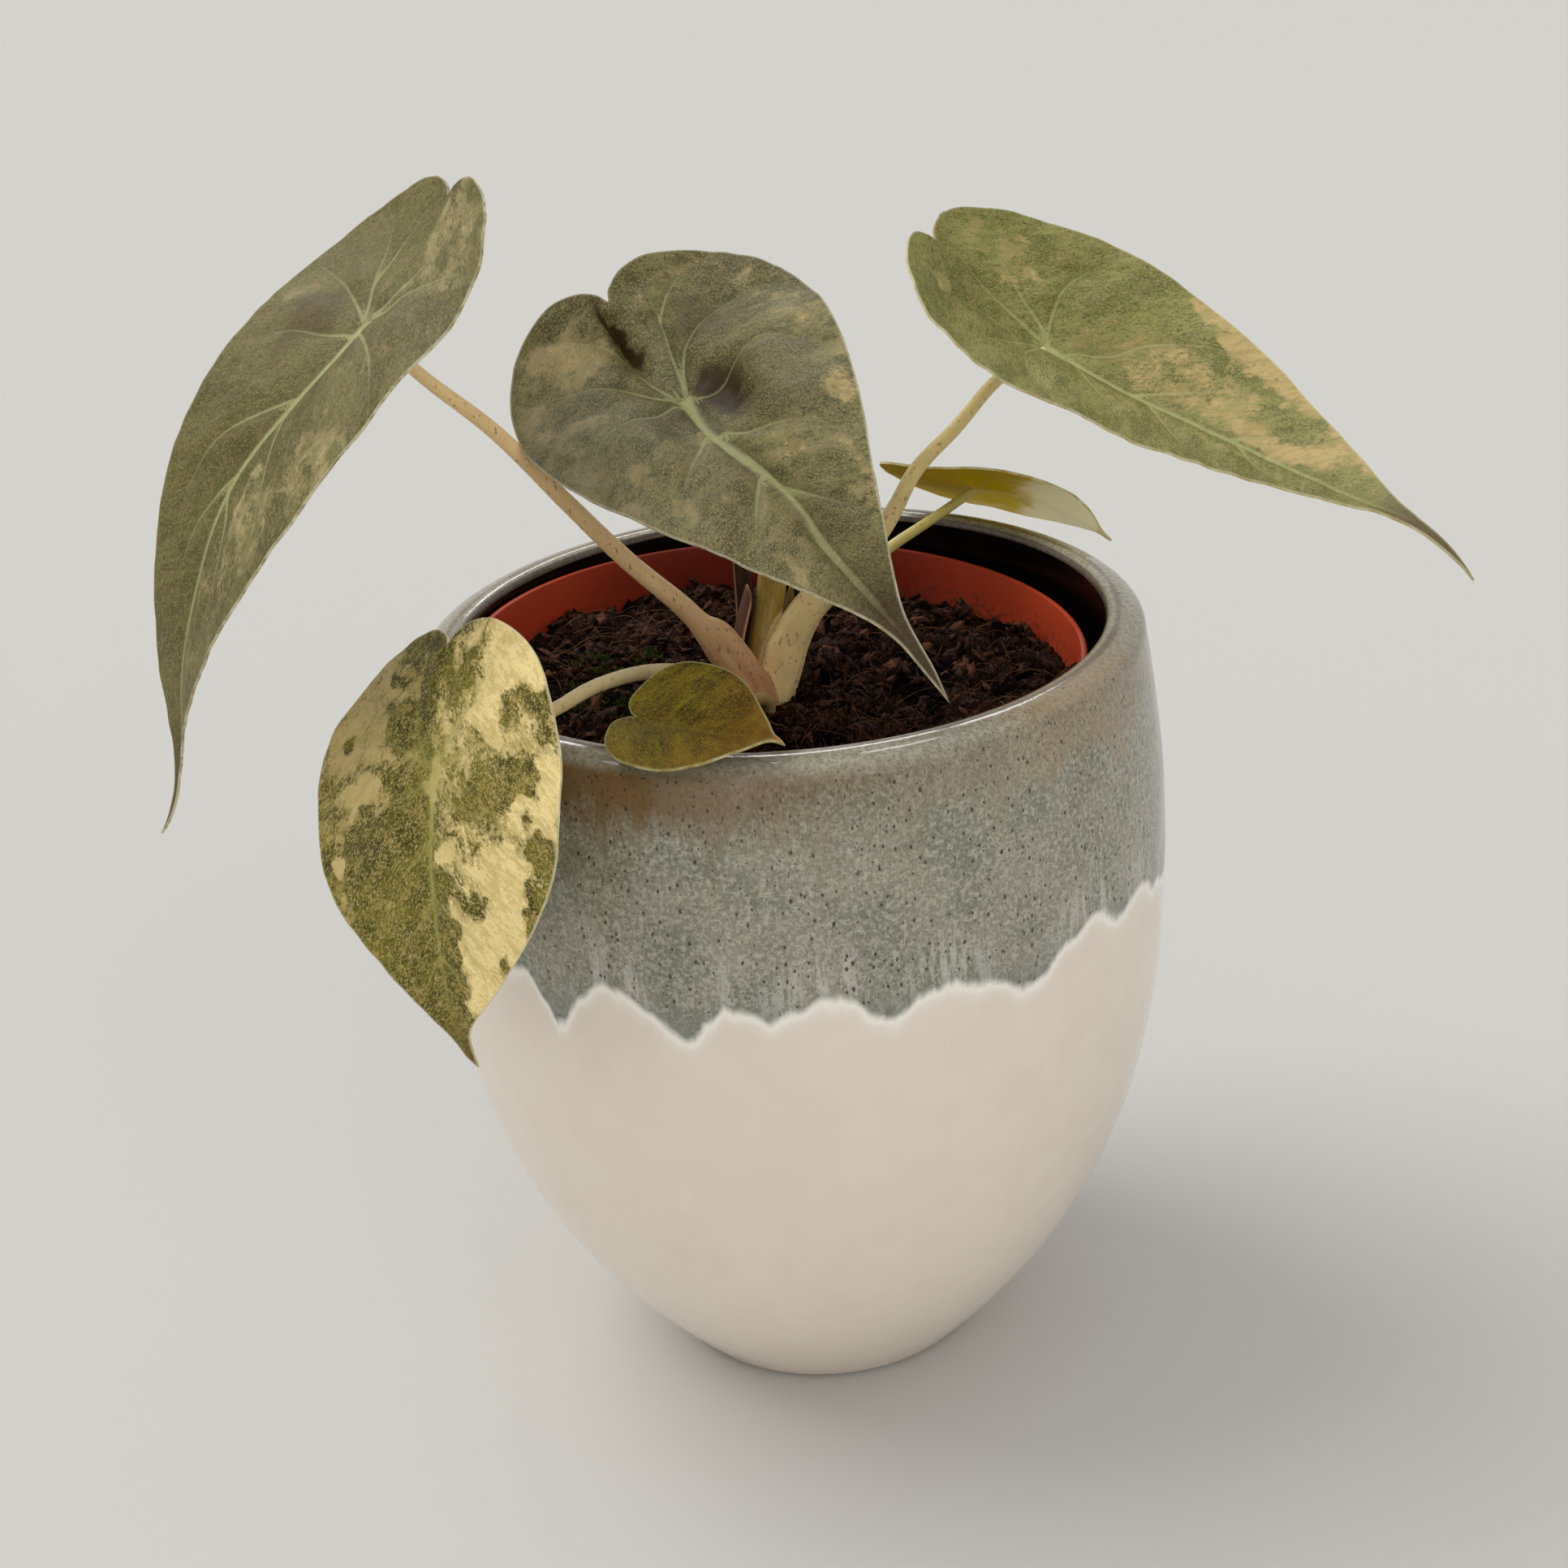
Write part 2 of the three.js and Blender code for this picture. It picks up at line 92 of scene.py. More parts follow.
STALKS = {
    "leaf_left": (
        ((-4.2, -3.5, 113), (-5, -4, 119.5), (-8.5, -4.5, 127), (-14.5, -4, 135.5),
         (-23.8, -3.5, 145.2), (-32.2, -3, 155.2), (-42, -5.5, 168.4), (-51.2, -12, 179.8)),
        (3.6, 3.9, 3.3, 2, 1.8, 1.7, 1.5, 1.2, 1),
    ),
    "leaf_centre": (
        ((-4.5, 0.5, 113), (-4.5, 1, 119.5), (-3.2, 3, 127), (-1.5, 4, 135), (-0.5, 3.5, 146),
         (-3.5, 1.5, 157.5)),
        (2.4, 2.2, 2, 1.7, 1.4, 1.1),
    ),
    "leaf_right": (
        ((-1.8, -2, 113), (-1.2, -1.5, 119.5), (0.8, 0, 126.3), (5, 0, 133.5), (11.7, 0, 139),
         (18.6, -1, 147.7), (23.5, -2, 156.1), (30, -3, 162.8), (37, -4, 170.5)),
        (2.4, 3.6, 2.8, 1.9, 1.4, 1.2, 1.1, 1),
    ),
    "leaf_cream": (
        ((-5.5, -5, 113), (-6, -6, 119.5), (-9, -11.5, 125), (-15, -19.5, 131.3),
         (-21, -27, 135), (-28.5, -38, 137.7), (-33.5, -45, 137.8), (-41, -50.5, 136.5)),
        (1.8, 1.5, 1.3, 1.2, 1.1, 1),
    ),
    "leaf_front": (
        ((-3, -6, 113), (-3.2, -6.8, 119.5), (-5, -15, 124), (-9, -26, 127.5), (-14.5, -39, 130)),
        (1.5, 1.2, 1, 0.9, 0.8),
    ),
    "leaf_back": (
        ((-2, 0, 113), (-1.8, 0.8, 119.5), (2.5, 7, 124.5), (9, 16, 129), (20.2, 28, 132.8),
         (27, 32.2, 135.3)),
        (1.6, 1.4, 1.2, 1.1, 1, 0.9),
    ),
}

# Blades: angles in degrees, lengths in millimetres, as the solids have them
BLADES = {
    "leaf_left": dict(
        at=(-58.8, -15.4, 190.2), azimuth=220, rise=-28, roll=2, front=93, back=26.7, half_width=24.1,
        notch=0.89, taper=0.98, droop=76, tip_bend=-46, heel=-27, side=-37, hook=1, twist=-10, fold=5,
        curl=-2),
    "leaf_centre": dict(
        at=(-13, -2.3, 172.2), azimuth=-70, rise=-6, roll=22, front=79.4, back=30.6, half_width=26.2,
        notch=0.87, taper=1.22, droop=36, tip_bend=25, heel=-37, side=6, hook=-7, twist=3, fold=13, curl=-11),
    "leaf_right": dict(
        at=(45, -2.3, 175.5), azimuth=-37, rise=-22, roll=12, front=82.7, back=27.5, half_width=21.7,
        notch=0.89, taper=1.26, droop=-26, tip_bend=63, heel=-35, side=-24, hook=24, twist=8, fold=8,
        curl=18),
    "leaf_cream": dict(
        at=(-52.5, -54.4, 133.2), azimuth=259, rise=-58, roll=28, front=45.2, back=22.9, half_width=24.7,
        notch=0.85, taper=0.87, droop=35, tip_bend=5, heel=21, side=-7, hook=27, twist=-9, fold=-2, curl=-3),
    "leaf_front": dict(
        at=(-17.6, -49, 135.3), azimuth=-32, rise=-3, roll=22, front=20.6, back=7.9, half_width=11.1,
        notch=0.7, taper=0.8, droop=-16, tip_bend=36, heel=0, side=2, hook=-21, twist=2, fold=15, curl=-4),
    "leaf_back": dict(
        at=(36.1, 39.6, 138.8), azimuth=-13, rise=-4, roll=-33, front=26.5, back=17, half_width=12.8,
        notch=0.92, taper=0.71, droop=32, tip_bend=-3, heel=-15, side=21, hook=5, twist=-6, fold=6, curl=-13),
}
TIP_BEND_FROM = 0.72
MIDRIB_STEPS = 14

# Half of a blade's outline from the tip to the lobe's inner edge, in shares of its lengths and half width
HALF_OUTLINE = (
    (1, 0), (0.95, 0.028), (0.88, 0.075), (0.78, 0.2), (0.62, 0.46), (0.42, 0.76), (0.2, 0.95),
    (-0.05, 1), (-0.42, 0.93), (-0.75, 0.72), (-0.95, 0.42), (-0.99, 0.2),
)

# Veins in shares of the blade's front or back length and half width, from the stalk's joint outwards
VEINS = {
    "leaf_left": (
        ((0, 0), (0.08, 0.03), (0.2, -0.02), (0.32, -0.1), (0.42, -0.09), (0.54, -0.03), (0.75, 0), (1, 0)),
        ((-0.02, -0.04), (-0.12, -0.25), (-0.22, -0.52), (-0.3, -0.9)),
        ((0.03, 0), (0.05, -0.21), (0.07, -0.5), (0.11, -0.85)),
        ((-0.03, -0.03), (-0.26, -0.2), (-0.48, -0.33), (-0.66, -0.46), (-0.8, -0.6)),
        ((-0.26, -0.2), (-0.5, -0.22), (-0.8, -0.18)),
        ((-0.05, 0.02), (-0.2, 0.14), (-0.3, 0.38), (-0.36, 0.64), (-0.36, 0.88)),
        ((-0.08, 0), (-0.3, 0.1), (-0.53, 0.23), (-0.82, 0.41)),
        ((0.02, 0.02), (0.05, 0.32), (0.08, 0.53), (0.12, 0.73), (0.18, 0.92)),
        ((0.17, -0.02), (0.22, -0.22), (0.27, -0.38), (0.32, -0.48), (0.39, -0.52), (0.48, -0.47)),
        ((0.18, -0.02), (0.24, 0.06), (0.29, 0.2), (0.34, 0.36), (0.4, 0.5), (0.48, 0.56)),
        ((0.32, -0.1), (0.38, -0.2), (0.45, -0.27), (0.56, -0.26)),
        ((0.36, -0.09), (0.43, 0.1), (0.5, 0.22), (0.6, 0.27)),
    ),
    "leaf_centre": (
        ((0, 0), (0.17, -0.03), (0.36, 0.02), (0.49, 0.03), (0.6, 0), (0.74, 0), (1, 0)),
        ((-0.05, 0.02), (-0.3, 0.1), (-0.59, 0.19), (-0.85, 0.24)),
        ((-0.59, 0.19), (-0.7, 0.33), (-0.8, 0.52)),
        ((-0.03, 0.02), (-0.16, 0.09), (-0.28, 0.21), (-0.38, 0.47), (-0.35, 0.72), (-0.26, 0.9)),
        ((0, 0.02), (0.04, 0.08), (0.03, 0.32), (0.05, 0.55), (0.12, 0.69), (0.21, 0.84)),
        ((0.19, 0.0), (0.24, 0.1), (0.28, 0.23), (0.33, 0.35), (0.41, 0.5)),
        ((0.42, 0.03), (0.5, 0.14), (0.59, 0.27)),
        ((-0.03, -0.03), (-0.25, -0.1), (-0.47, -0.13), (-0.63, -0.23), (-0.82, -0.56)),
        ((0, -0.03), (-0.1, -0.15), (-0.23, -0.32), (-0.36, -0.57), (-0.46, -0.85)),
        ((0.02, -0.04), (0.05, -0.2), (0.05, -0.37), (0.08, -0.58), (0.15, -0.78)),
        ((0.17, -0.03), (0.24, -0.2), (0.3, -0.35), (0.37, -0.53)),
        ((0.36, 0.02), (0.44, -0.14), (0.53, -0.3)),
    ),
    "leaf_right": (
        ((0, 0), (0.06, -0.02), (0.19, -0.04), (0.35, -0.01), (0.56, 0), (0.75, 0), (1, 0)),
        ((-0.01, 0.02), (-0.06, 0.12), (-0.12, 0.3), (-0.16, 0.48), (-0.14, 0.67), (-0.04, 0.8),
         (0.08, 0.88)),
        ((0.04, 0), (0.1, 0.19), (0.14, 0.36), (0.2, 0.52), (0.27, 0.62), (0.36, 0.67)),
        ((-0.03, 0.04), (-0.13, 0.12), (-0.3, 0.2), (-0.45, 0.28), (-0.6, 0.36), (-0.78, 0.55)),
        ((-0.05, 0.02), (-0.3, 0.05), (-0.6, 0.08), (-0.86, 0.14)),
        ((-0.04, -0.04), (-0.21, -0.13), (-0.41, -0.21), (-0.54, -0.34), (-0.64, -0.62)),
        ((-0.02, -0.04), (-0.14, -0.3), (-0.22, -0.6), (-0.2, -0.88)),
        ((0, -0.04), (0, -0.3), (0.03, -0.47), (0.1, -0.7)),
        ((0.06, -0.02), (0.12, -0.17), (0.18, -0.3), (0.27, -0.5)),
        ((0.2, -0.04), (0.28, 0.18), (0.34, 0.34), (0.42, 0.5)),
        ((0.24, -0.04), (0.31, -0.2), (0.39, -0.35), (0.47, -0.42)),
        ((0.42, 0), (0.48, 0.16), (0.56, 0.3)),
        ((0.44, 0), (0.51, -0.15), (0.6, -0.25)),
    ),
    "leaf_cream": (
        ((0, 0), (0.15, 0), (0.3, -0.02), (0.43, -0.02), (0.58, -0.02), (0.77, -0.03), (1, 0)),
        ((-0.03, 0.02), (-0.13, 0.09), (-0.32, 0.2), (-0.43, 0.29), (-0.61, 0.38), (-0.8, 0.5)),
        ((-0.05, 0.01), (-0.3, 0.05), (-0.55, 0.09), (-0.8, 0.15)),
        ((-0.04, -0.03), (-0.16, -0.1), (-0.35, -0.16), (-0.53, -0.21), (-0.78, -0.32)),
        ((-0.04, -0.03), (-0.14, -0.22), (-0.22, -0.38), (-0.27, -0.51), (-0.26, -0.73), (-0.17, -0.92)),
        ((-0.02, 0.02), (-0.08, 0.19), (-0.13, 0.38), (-0.11, 0.62), (-0.05, 0.86)),
        ((0.02, 0.01), (0.1, 0.15), (0.14, 0.33), (0.18, 0.52), (0.27, 0.75)),
        ((0.02, -0.01), (0.08, -0.2), (0.11, -0.38), (0.17, -0.53), (0.26, -0.68)),
        ((0.22, 0), (0.3, -0.15), (0.38, -0.32), (0.48, -0.47)),
        ((0.2, 0), (0.27, 0.13), (0.35, 0.26), (0.47, 0.42)),
        ((0.41, -0.02), (0.49, -0.13), (0.56, -0.26), (0.66, -0.4)),
        ((0.4, -0.02), (0.47, 0.1), (0.55, 0.18), (0.65, 0.26)),
        ((0.6, -0.02), (0.67, -0.12), (0.75, -0.2)),
        ((0.6, -0.02), (0.67, 0.08), (0.75, 0.14)),
    ),
}
SMALL_LEAF_SIDE_VEINS = (
    ((0, 0), (-0.3, 0.2), (-0.6, 0.38), (-0.82, 0.52)),
    ((0, 0), (-0.12, 0.3), (-0.22, 0.6), (-0.2, 0.88)),
    ((0.02, 0), (0.1, 0.3), (0.18, 0.55), (0.3, 0.78)),
    ((0.2, 0), (0.3, 0.2), (0.4, 0.42), (0.52, 0.52)),
    ((0.42, 0), (0.5, 0.15), (0.6, 0.26), (0.7, 0.3)),
)
SMALL_LEAF_VEINS = (
    ((0, 0), (0.3, 0), (0.7, 0), (1, 0)),
    *SMALL_LEAF_SIDE_VEINS,
    *(tuple((along, -aside) for along, aside in vein) for vein in SMALL_LEAF_SIDE_VEINS),
)

# Variegation, painted patch by patch over a base value: centre, reach, value and slant of each, in the same
# shares. Values near 0 are green, near 1 pale, and near a half both break up into flecks.
PATCHES = {
    "leaf_left": (0.17, (
        (0.6, 0, 0.3, 0.5, 0.28), (-0.45, 0.55, 0.34, 0.34, 0.42), (-0.62, 0.2, 0.38, 0.12, 0.57),
        (-0.8, 0.55, 0.16, 0.28, 0.53), (-0.08, -0.75, 0.08, 0.15, 0.56), (0.1, 0.4, 0.1, 0.3, 0.3),
        (0.25, 0.74, 0.07, 0.26, 0.52), (0.37, 0.36, 0.09, 0.28, 0.52), (0.4, 0.28, 0.03, 0.1, 0.72),
        (0.33, 0.16, 0.05, 0.05, 0.66), (0.5, 0.25, 0.12, 0.3, 0.37), (-0.3, -0.06, 0.2, 0.05, 0.44),
    )),
    "leaf_centre": (0.16, (
        (0.3, -0.8, 0.4, 0.14, 0.44), (-0.6, -0.44, 0.22, 0.26, 0.66), (-0.15, -0.86, 0.22, 0.14, 0.5),
        (-0.72, 0.45, 0.12, 0.3, 0.36), (-0.35, 0.8, 0.3, 0.14, 0.4), (-0.02, -0.62, 0.06, 0.14, 0.62),
        (0.25, -0.6, 0.05, 0.08, 0.58), (0.37, -0.48, 0.05, 0.07, 0.56), (0.6, -0.2, 0.06, 0.07, 0.85, -0.8),
        (0.19, -0.06, 0.025, 0.05, 0.9), (0.34, 0.7, 0.06, 0.12, 0.62), (0.55, 0.42, 0.22, 0.07, 0.45),
        (0.5, -0.08, 0.18, 0.2, 0.38), (0.15, 0.85, 0.25, 0.12, 0.42), (0.38, 0.2, 0.1, 0.16, 0.4),
    )),
    "leaf_right": (0.2, (
        (-0.42, 0.22, 0.12, 0.07, 0.56), (-0.34, 0.37, 0.09, 0.09, 0.56), (-0.55, 0.42, 0.14, 0.14, 0.44),
        (-0.68, -0.32, 0.09, 0.14, 0.6), (-0.75, 0.35, 0.08, 0.2, 0.44), (-0.15, -0.04, 0.15, 0.06, 0.44),
        (0.2, 0.24, 0.17, 0.22, 0.52), (0.36, 0.3, 0.13, 0.16, 0.53), (0.22, 0.9, 0.06, 0.08, 0.78),
        (0.3, 0.75, 0.06, 0.1, 0.85), (0.4, 0.64, 0.09, 0.13, 0.85), (0.5, 0.56, 0.07, 0.11, 0.72),
        (0.47, 0.36, 0.055, 0.12, 0.28), (0.5, 0.14, 0.12, 0.1, 0.84), (0.62, 0.26, 0.09, 0.13, 0.66),
        (0.64, 0.45, 0.1, 0.1, 0.58), (0.25, -0.25, 0.1, 0.12, 0.45), (0.45, -0.12, 0.12, 0.06, 0.46),
        (0.78, 0.1, 0.08, 0.2, 0.36), (0.39, 0.47, 0.03, 0.04, 0.2),
    )),
    "leaf_cream": (0.05, (
        (-0.4, -0.6, 0.6, 0.53, 0.67), (-0.5, -0.07, 0.5, 0.07, 0.1), (-0.3, -0.26, 0.15, 0.13, 0.06),
        (-0.62, -0.38, 0.06, 0.08, 0.15), (-0.28, -0.76, 0.08, 0.05, 0.18), (-0.86, -0.3, 0.1, 0.12, 0.45),
        (0.07, -0.25, 0.1, 0.2, 0.04), (0.5, -0.55, 0.38, 0.56, 0.03), (0.08, -0.6, 0.055, 0.2, 0.95),
        (0.18, -0.82, 0.06, 0.16, 0.42), (0.31, -0.77, 0.05, 0.06, 0.88), (0.6, -0.72, 0.2, 0.05, 0.52),
        (0, 0.6, 1.0, 0.6, 0.47), (-0.66, 0.68, 0.34, 0.33, 0.95), (-0.4, 0.48, 0.16, 0.14, 0.9),
        (-0.84, 0.2, 0.18, 0.14, 0.5), (-0.56, 0.17, 0.1, 0.09, 0.03, -2), (-0.32, 0.78, 0.16, 0.25, 0.2),
        (-0.24, 0.72, 0.08, 0.14, 0.5), (-0.24, 0.94, 0.06, 0.05, 0.5), (-0.2, 0.22, 0.2, 0.2, 0.5),
        (0.06, 0.58, 0.095, 0.28, 0.02), (0.12, 0.42, 0.06, 0.16, 0.03), (0.02, 0.28, 0.06, 0.07, 0.45),
        (0.07, 0.94, 0.14, 0.1, 0.9), (0.175, 0.82, 0.04, 0.2, 0.86), (0.28, 0.8, 0.08, 0.06, 0.05),
        (0.24, 0.97, 0.06, 0.035, 0.3), (0.25, 0.3, 0.1, 0.24, 0.5), (0.24, 0.13, 0.03, 0.07, 0.84),
        (0.32, 0.52, 0.08, 0.16, 0.86), (0.52, 0.46, 0.14, 0.33, 0.93), (0.43, 0.3, 0.05, 0.1, 0.38),
        (0.46, 0.73, 0.06, 0.05, 0.1), (0.73, 0.28, 0.14, 0.22, 0.8), (0.66, 0.5, 0.07, 0.05, 0.3),
        (0.56, 0.06, 0.2, 0.08, 0.04), (0.72, 0.08, 0.12, 0.09, 0.1), (0.05, 0.01, 0.1, 0.07, 0.72),
        (-0.36, 0.07, 0.3, 0.06, 0.58), (0.92, 0, 0.06, 0.4, 0.3),
    )),
    "leaf_front": (0.16, ((0.4, 0.75, 0.3, 0.15, 0.35), (-0.3, -0.5, 0.3, 0.3, 0.3))),
    "leaf_back": (0.1, ((0.75, 0, 0.42, 1.6, 0.9), (0.1, 0.9, 0.3, 0.12, 0.4))),
}

# Dark areas, painted likewise over none: partly the leaves' own bronze, partly painted shade in the blades'
# dents and pockets
BRONZE_AND_SHADE_PATCHES = {
    "leaf_left": (
        (-0.4, -0.45, 0.3, 0.36, 0.2), (0.0, -0.42, 0.12, 0.24, 0.45), (-0.1, 0.12, 0.08, 0.1, 0.3),
        (0.5, -0.3, 0.2, 0.3, 0.1),
    ),
    "leaf_centre": (
        (-0.02, 0.02, 0.16, 0.3, 0.25), (-0.4, 0.36, 0.24, 0.15, 0.42), (0.08, 0.21, 0.09, 0.17, 1.0),
        (-0.62, -0.03, 0.26, 0.035, 0.95), (0.2, 0.45, 0.2, 0.25, 0.2), (0.12, -0.25, 0.1, 0.14, 0.3),
        (-0.3, -0.22, 0.2, 0.06, 0.35), (0.66, 0.1, 0.22, 0.2, 0.3),
    ),
    "leaf_right": (
        (0.09, 0.2, 0.09, 0.13, 0.3), (-0.12, -0.02, 0.16, 0.06, 0.35), (-0.5, 0.5, 0.2, 0.2, 0.12),
    ),
    "leaf_cream": ((0.07, 0.3, 0.08, 0.1, 0.2), (-0.45, -0.07, 0.4, 0.05, 0.3)),
}

# Dents and swellings of the blades: centre, reach, height in millimetres
SWELLINGS = {
    "leaf_left": (
        (0.06, -0.45, 0.09, 0.24, 0.9), (-0.25, -0.35, 0.16, 0.22, 0.7), (0.02, 0.45, 0.1, 0.26, 0.8),
        (-0.1, 0.12, 0.09, 0.1, -0.7), (0.26, 0.4, 0.08, 0.2, 0.6), (0.26, -0.45, 0.08, 0.2, 0.6),
    ),
    "leaf_centre": (
        (0.1, 0.21, 0.11, 0.15, -2.8), (-0.6, -0.07, 0.26, 0.05, -3.4), (-0.3, 0.3, 0.16, 0.2, 1.3),
        (-0.25, -0.38, 0.16, 0.2, 1.3), (-0.6, 0.3, 0.2, 0.18, 0.9), (0.24, -0.35, 0.14, 0.2, 1.0),
        (0.3, 0.42, 0.14, 0.2, 1.0), (0.08, -0.45, 0.1, 0.22, 1.0), (0.08, 0.55, 0.12, 0.2, 1.0),
        (0.16, -0.2, 0.08, 0.1, -0.9), (-0.62, -0.35, 0.18, 0.18, 0.8),
    ),
    "leaf_right": (
        (0.1, 0.22, 0.1, 0.15, -1.2), (-0.2, 0.35, 0.14, 0.2, 1.0), (0.05, 0.6, 0.14, 0.2, 0.9),
        (-0.5, 0.3, 0.18, 0.18, 0.8), (0.3, 0.42, 0.1, 0.2, 0.7), (-0.3, -0.35, 0.16, 0.2, 0.7),
        (0.06, -0.4, 0.1, 0.22, 0.7), (-0.12, -0.05, 0.14, 0.07, -0.8),
    ),
    "leaf_cream": (
        (0.07, 0.5, 0.12, 0.2, 0.9), (-0.3, 0.45, 0.16, 0.2, 0.8), (0.07, -0.4, 0.12, 0.2, 0.9),
        (-0.3, -0.35, 0.16, 0.18, 0.8), (0.3, 0.3, 0.1, 0.16, 0.6), (0.3, -0.35, 0.1, 0.18, 0.6),
        (-0.05, 0.15, 0.07, 0.07, -0.6),
    ),
    "leaf_front": ((0.1, 0.45, 0.2, 0.25, 0.35), (0.1, -0.45, 0.2, 0.25, 0.35)),
    "leaf_back": ((0.1, 0.45, 0.2, 0.25, 0.35), (0.1, -0.45, 0.2, 0.25, 0.35)),
}

# Lower edge of the coloured glaze: the turn of each low and high point in degrees, and its height
GLAZE_EDGE = (
    (-180, 91), (-173, 87), (-166, 92.5), (-158, 95), (-151, 90), (-145, 88.5), (-139, 93), (-134.4, 95),
    (-131.5, 91), (-128.3, 86.5), (-124.8, 92), (-120.2, 96), (-117, 95), (-113.8, 93), (-110.6, 90),
    (-107.1, 88), (-104.5, 91), (-101.9, 94), (-99.3, 93), (-95.5, 91.8), (-91.5, 93), (-88.8, 95.2),
    (-84.8, 94), (-79.3, 90), (-74.6, 93), (-69.7, 94.4), (-64.5, 92.6), (-57, 89), (-50, 93.5), (-43, 95.5),
    (-36, 92), (-29.6, 94), (-22, 90.5), (-15, 88), (-9, 92), (-2, 95), (6, 93), (13, 89.5), (20, 87.5),
    (27, 92), (36, 95.5), (44, 93), (51, 90), (58, 92.5), (66, 96), (73, 92), (80, 88), (88, 90.5),
    (96, 95), (104, 93.5), (111, 89), (118, 91.5), (126, 95), (133, 92), (141, 87.5), (148, 91),
    (156, 95.5), (163, 93), (171, 89), (180, 91),
)


def tone(red, green, blue):
    """A screen colour, 0 to 255, as the linear colour that a shader reads."""
    def channel(value):
        share = value / 255
        return share / 12.92 if share <= 0.04045 else ((share + 0.055) / 1.055) ** 2.4
    return (channel(red), channel(green), channel(blue), 1.0)


def colour_property(name, description, red, green, blue):
    return FloatVectorProperty(
        name=name, description=description, subtype="COLOR", size=4, min=0, max=1,
        default=tone(red, green, blue))


def length_property(name, description, millimetres):
    return FloatProperty(
        name=name, description=description, default=millimetres * MM, min=0, subtype="DISTANCE",
        unit="LENGTH")


class AlocasiaPotSettings(PropertyGroup):
    sides: IntProperty(name="Sides", description="Faces round the glazed pot", default=240, min=24)
    glaze_thickness: length_property(
        "Glaze thickness", "How far the coloured glaze stands out at its edge", 0.25)
    white_glaze: colour_property("White glaze", "Glaze of the lower part", 234, 222, 207)
    grey_glaze: colour_property("Grey glaze", "Flowing glaze of the upper part", 124, 125, 108)
    pale_streak: colour_property("Pale streaks", "Streaks and mottling of the flowing glaze", 198, 194, 176)
    rim_brown: colour_property("Rim brown", "Glaze that breaks brown over the shoulder", 120, 88, 48)
    speck: colour_property("Specks", "Iron specks in the flowing glaze", 62, 60, 46)
    # The inside's near-black is a dark glaze made darker still, as painted shade of the deep narrow gap
    # between the pots.
    inside: colour_property("Inside glaze", "Black glaze inside the pot", 6, 4, 4)


class AlocasiaGrowPotSettings(PropertyGroup):
    sides: IntProperty(name="Sides", description="Faces round the grow pot", default=160, min=24)
    clay: colour_property("Plastic", "Clay-red plastic of the grow pot", 194, 68, 34)


class AlocasiaSoilSettings(PropertyGroup):
    crumb_height: length_property("Crumb height", "How far the soil's lumps rise", 2.6)
    crumbs: IntProperty(name="Crumbs", description="Loose crumbs on the soil", default=2100, min=0)
    fibres: IntProperty(name="Fibres", description="Coir fibres on the soil", default=640, min=0)
    peat: colour_property("Peat", "Dark damp peat", 38, 21, 14)
    bark: colour_property("Bark", "Paler dry bits", 104, 64, 46)
    fibre: colour_property("Fibre", "Coir fibres", 140, 100, 68)
    moss: colour_property("Moss", "Moss between the stalks", 112, 130, 44)


class AlocasiaStalkSettings(PropertyGroup):
    voxel: length_property("Join size", "Cell size of the mesh that joins the stalks", 0.35)
    dash: colour_property("Dashes", "Small brown dashes on the stalks", 112, 70, 36)


class AlocasiaLeafSettings(PropertyGroup):
    rows: IntProperty(name="Rows", description="Rows of faces from tip to lobe", default=240, min=20)
    columns: IntProperty(name="Columns", description="Faces from midrib to margin", default=50, min=6)
    thickness: length_property("Thickness", "Thickness of the blades", 0.4)


class AlocasiaStageSettings(PropertyGroup):
    floor: colour_property("Floor", "Pale studio floor", 203, 202, 198)
    floor_size: FloatProperty(
        name="Floor size", description="Side of the floor", default=12, min=1, subtype="DISTANCE",
        unit="LENGTH")


class AlocasiaSettings(PropertyGroup):
    pot: PointerProperty(name="Glazed pot", description="Glazed ceramic pot", type=AlocasiaPotSettings)
    grow_pot: PointerProperty(name="Grow pot", description="Plastic grow pot", type=AlocasiaGrowPotSettings)
    soil: PointerProperty(name="Soil", description="Soil and what lies on it", type=AlocasiaSoilSettings)
    stalks: PointerProperty(name="Stalks", description="Leaf stalks and sheaths", type=AlocasiaStalkSettings)
    leaves: PointerProperty(name="Leaves", description="Leaf blades", type=AlocasiaLeafSettings)
    stage: PointerProperty(name="Stage", description="Floor, lights and camera", type=AlocasiaStageSettings)


class Number:
    """A number in a material. Expressions on it add Math nodes."""

    def __init__(self, material, socket):
        self.material = material
        self.socket = socket

    def math(self, operation, *values, clamp=False):
        return self.material.number(
            "ShaderNodeMath", {"operation": operation, "use_clamp": clamp}, dict(enumerate(values)))

    def __add__(self, other):
        return self.math("ADD", self, other)

    __radd__ = __add__

    def __sub__(self, other):
        return self.math("SUBTRACT", self, other)

    def __rsub__(self, other):
        return self.math("SUBTRACT", other, self)

    def __mul__(self, other):
        return self.math("MULTIPLY", self, other)

    __rmul__ = __mul__

    def __truediv__(self, other):
        return self.math("DIVIDE", self, other)

    def __rtruediv__(self, other):
        return self.math("DIVIDE", other, self)

    def __abs__(self):
        return self.math("ABSOLUTE", self)

    def root(self):
        return self.math("SQRT", self)

    def larger(self, other):
        return self.math("MAXIMUM", self, other)

    def step(self, low, high):
        """0 below low, 1 above high and a smooth rise between."""
        return self.material.number(
            "ShaderNodeMapRange", {"interpolation_type": "SMOOTHSTEP"},
            {"Value": self, "From Min": low, "From Max": high, "To Min": 0.0, "To Max": 1.0})


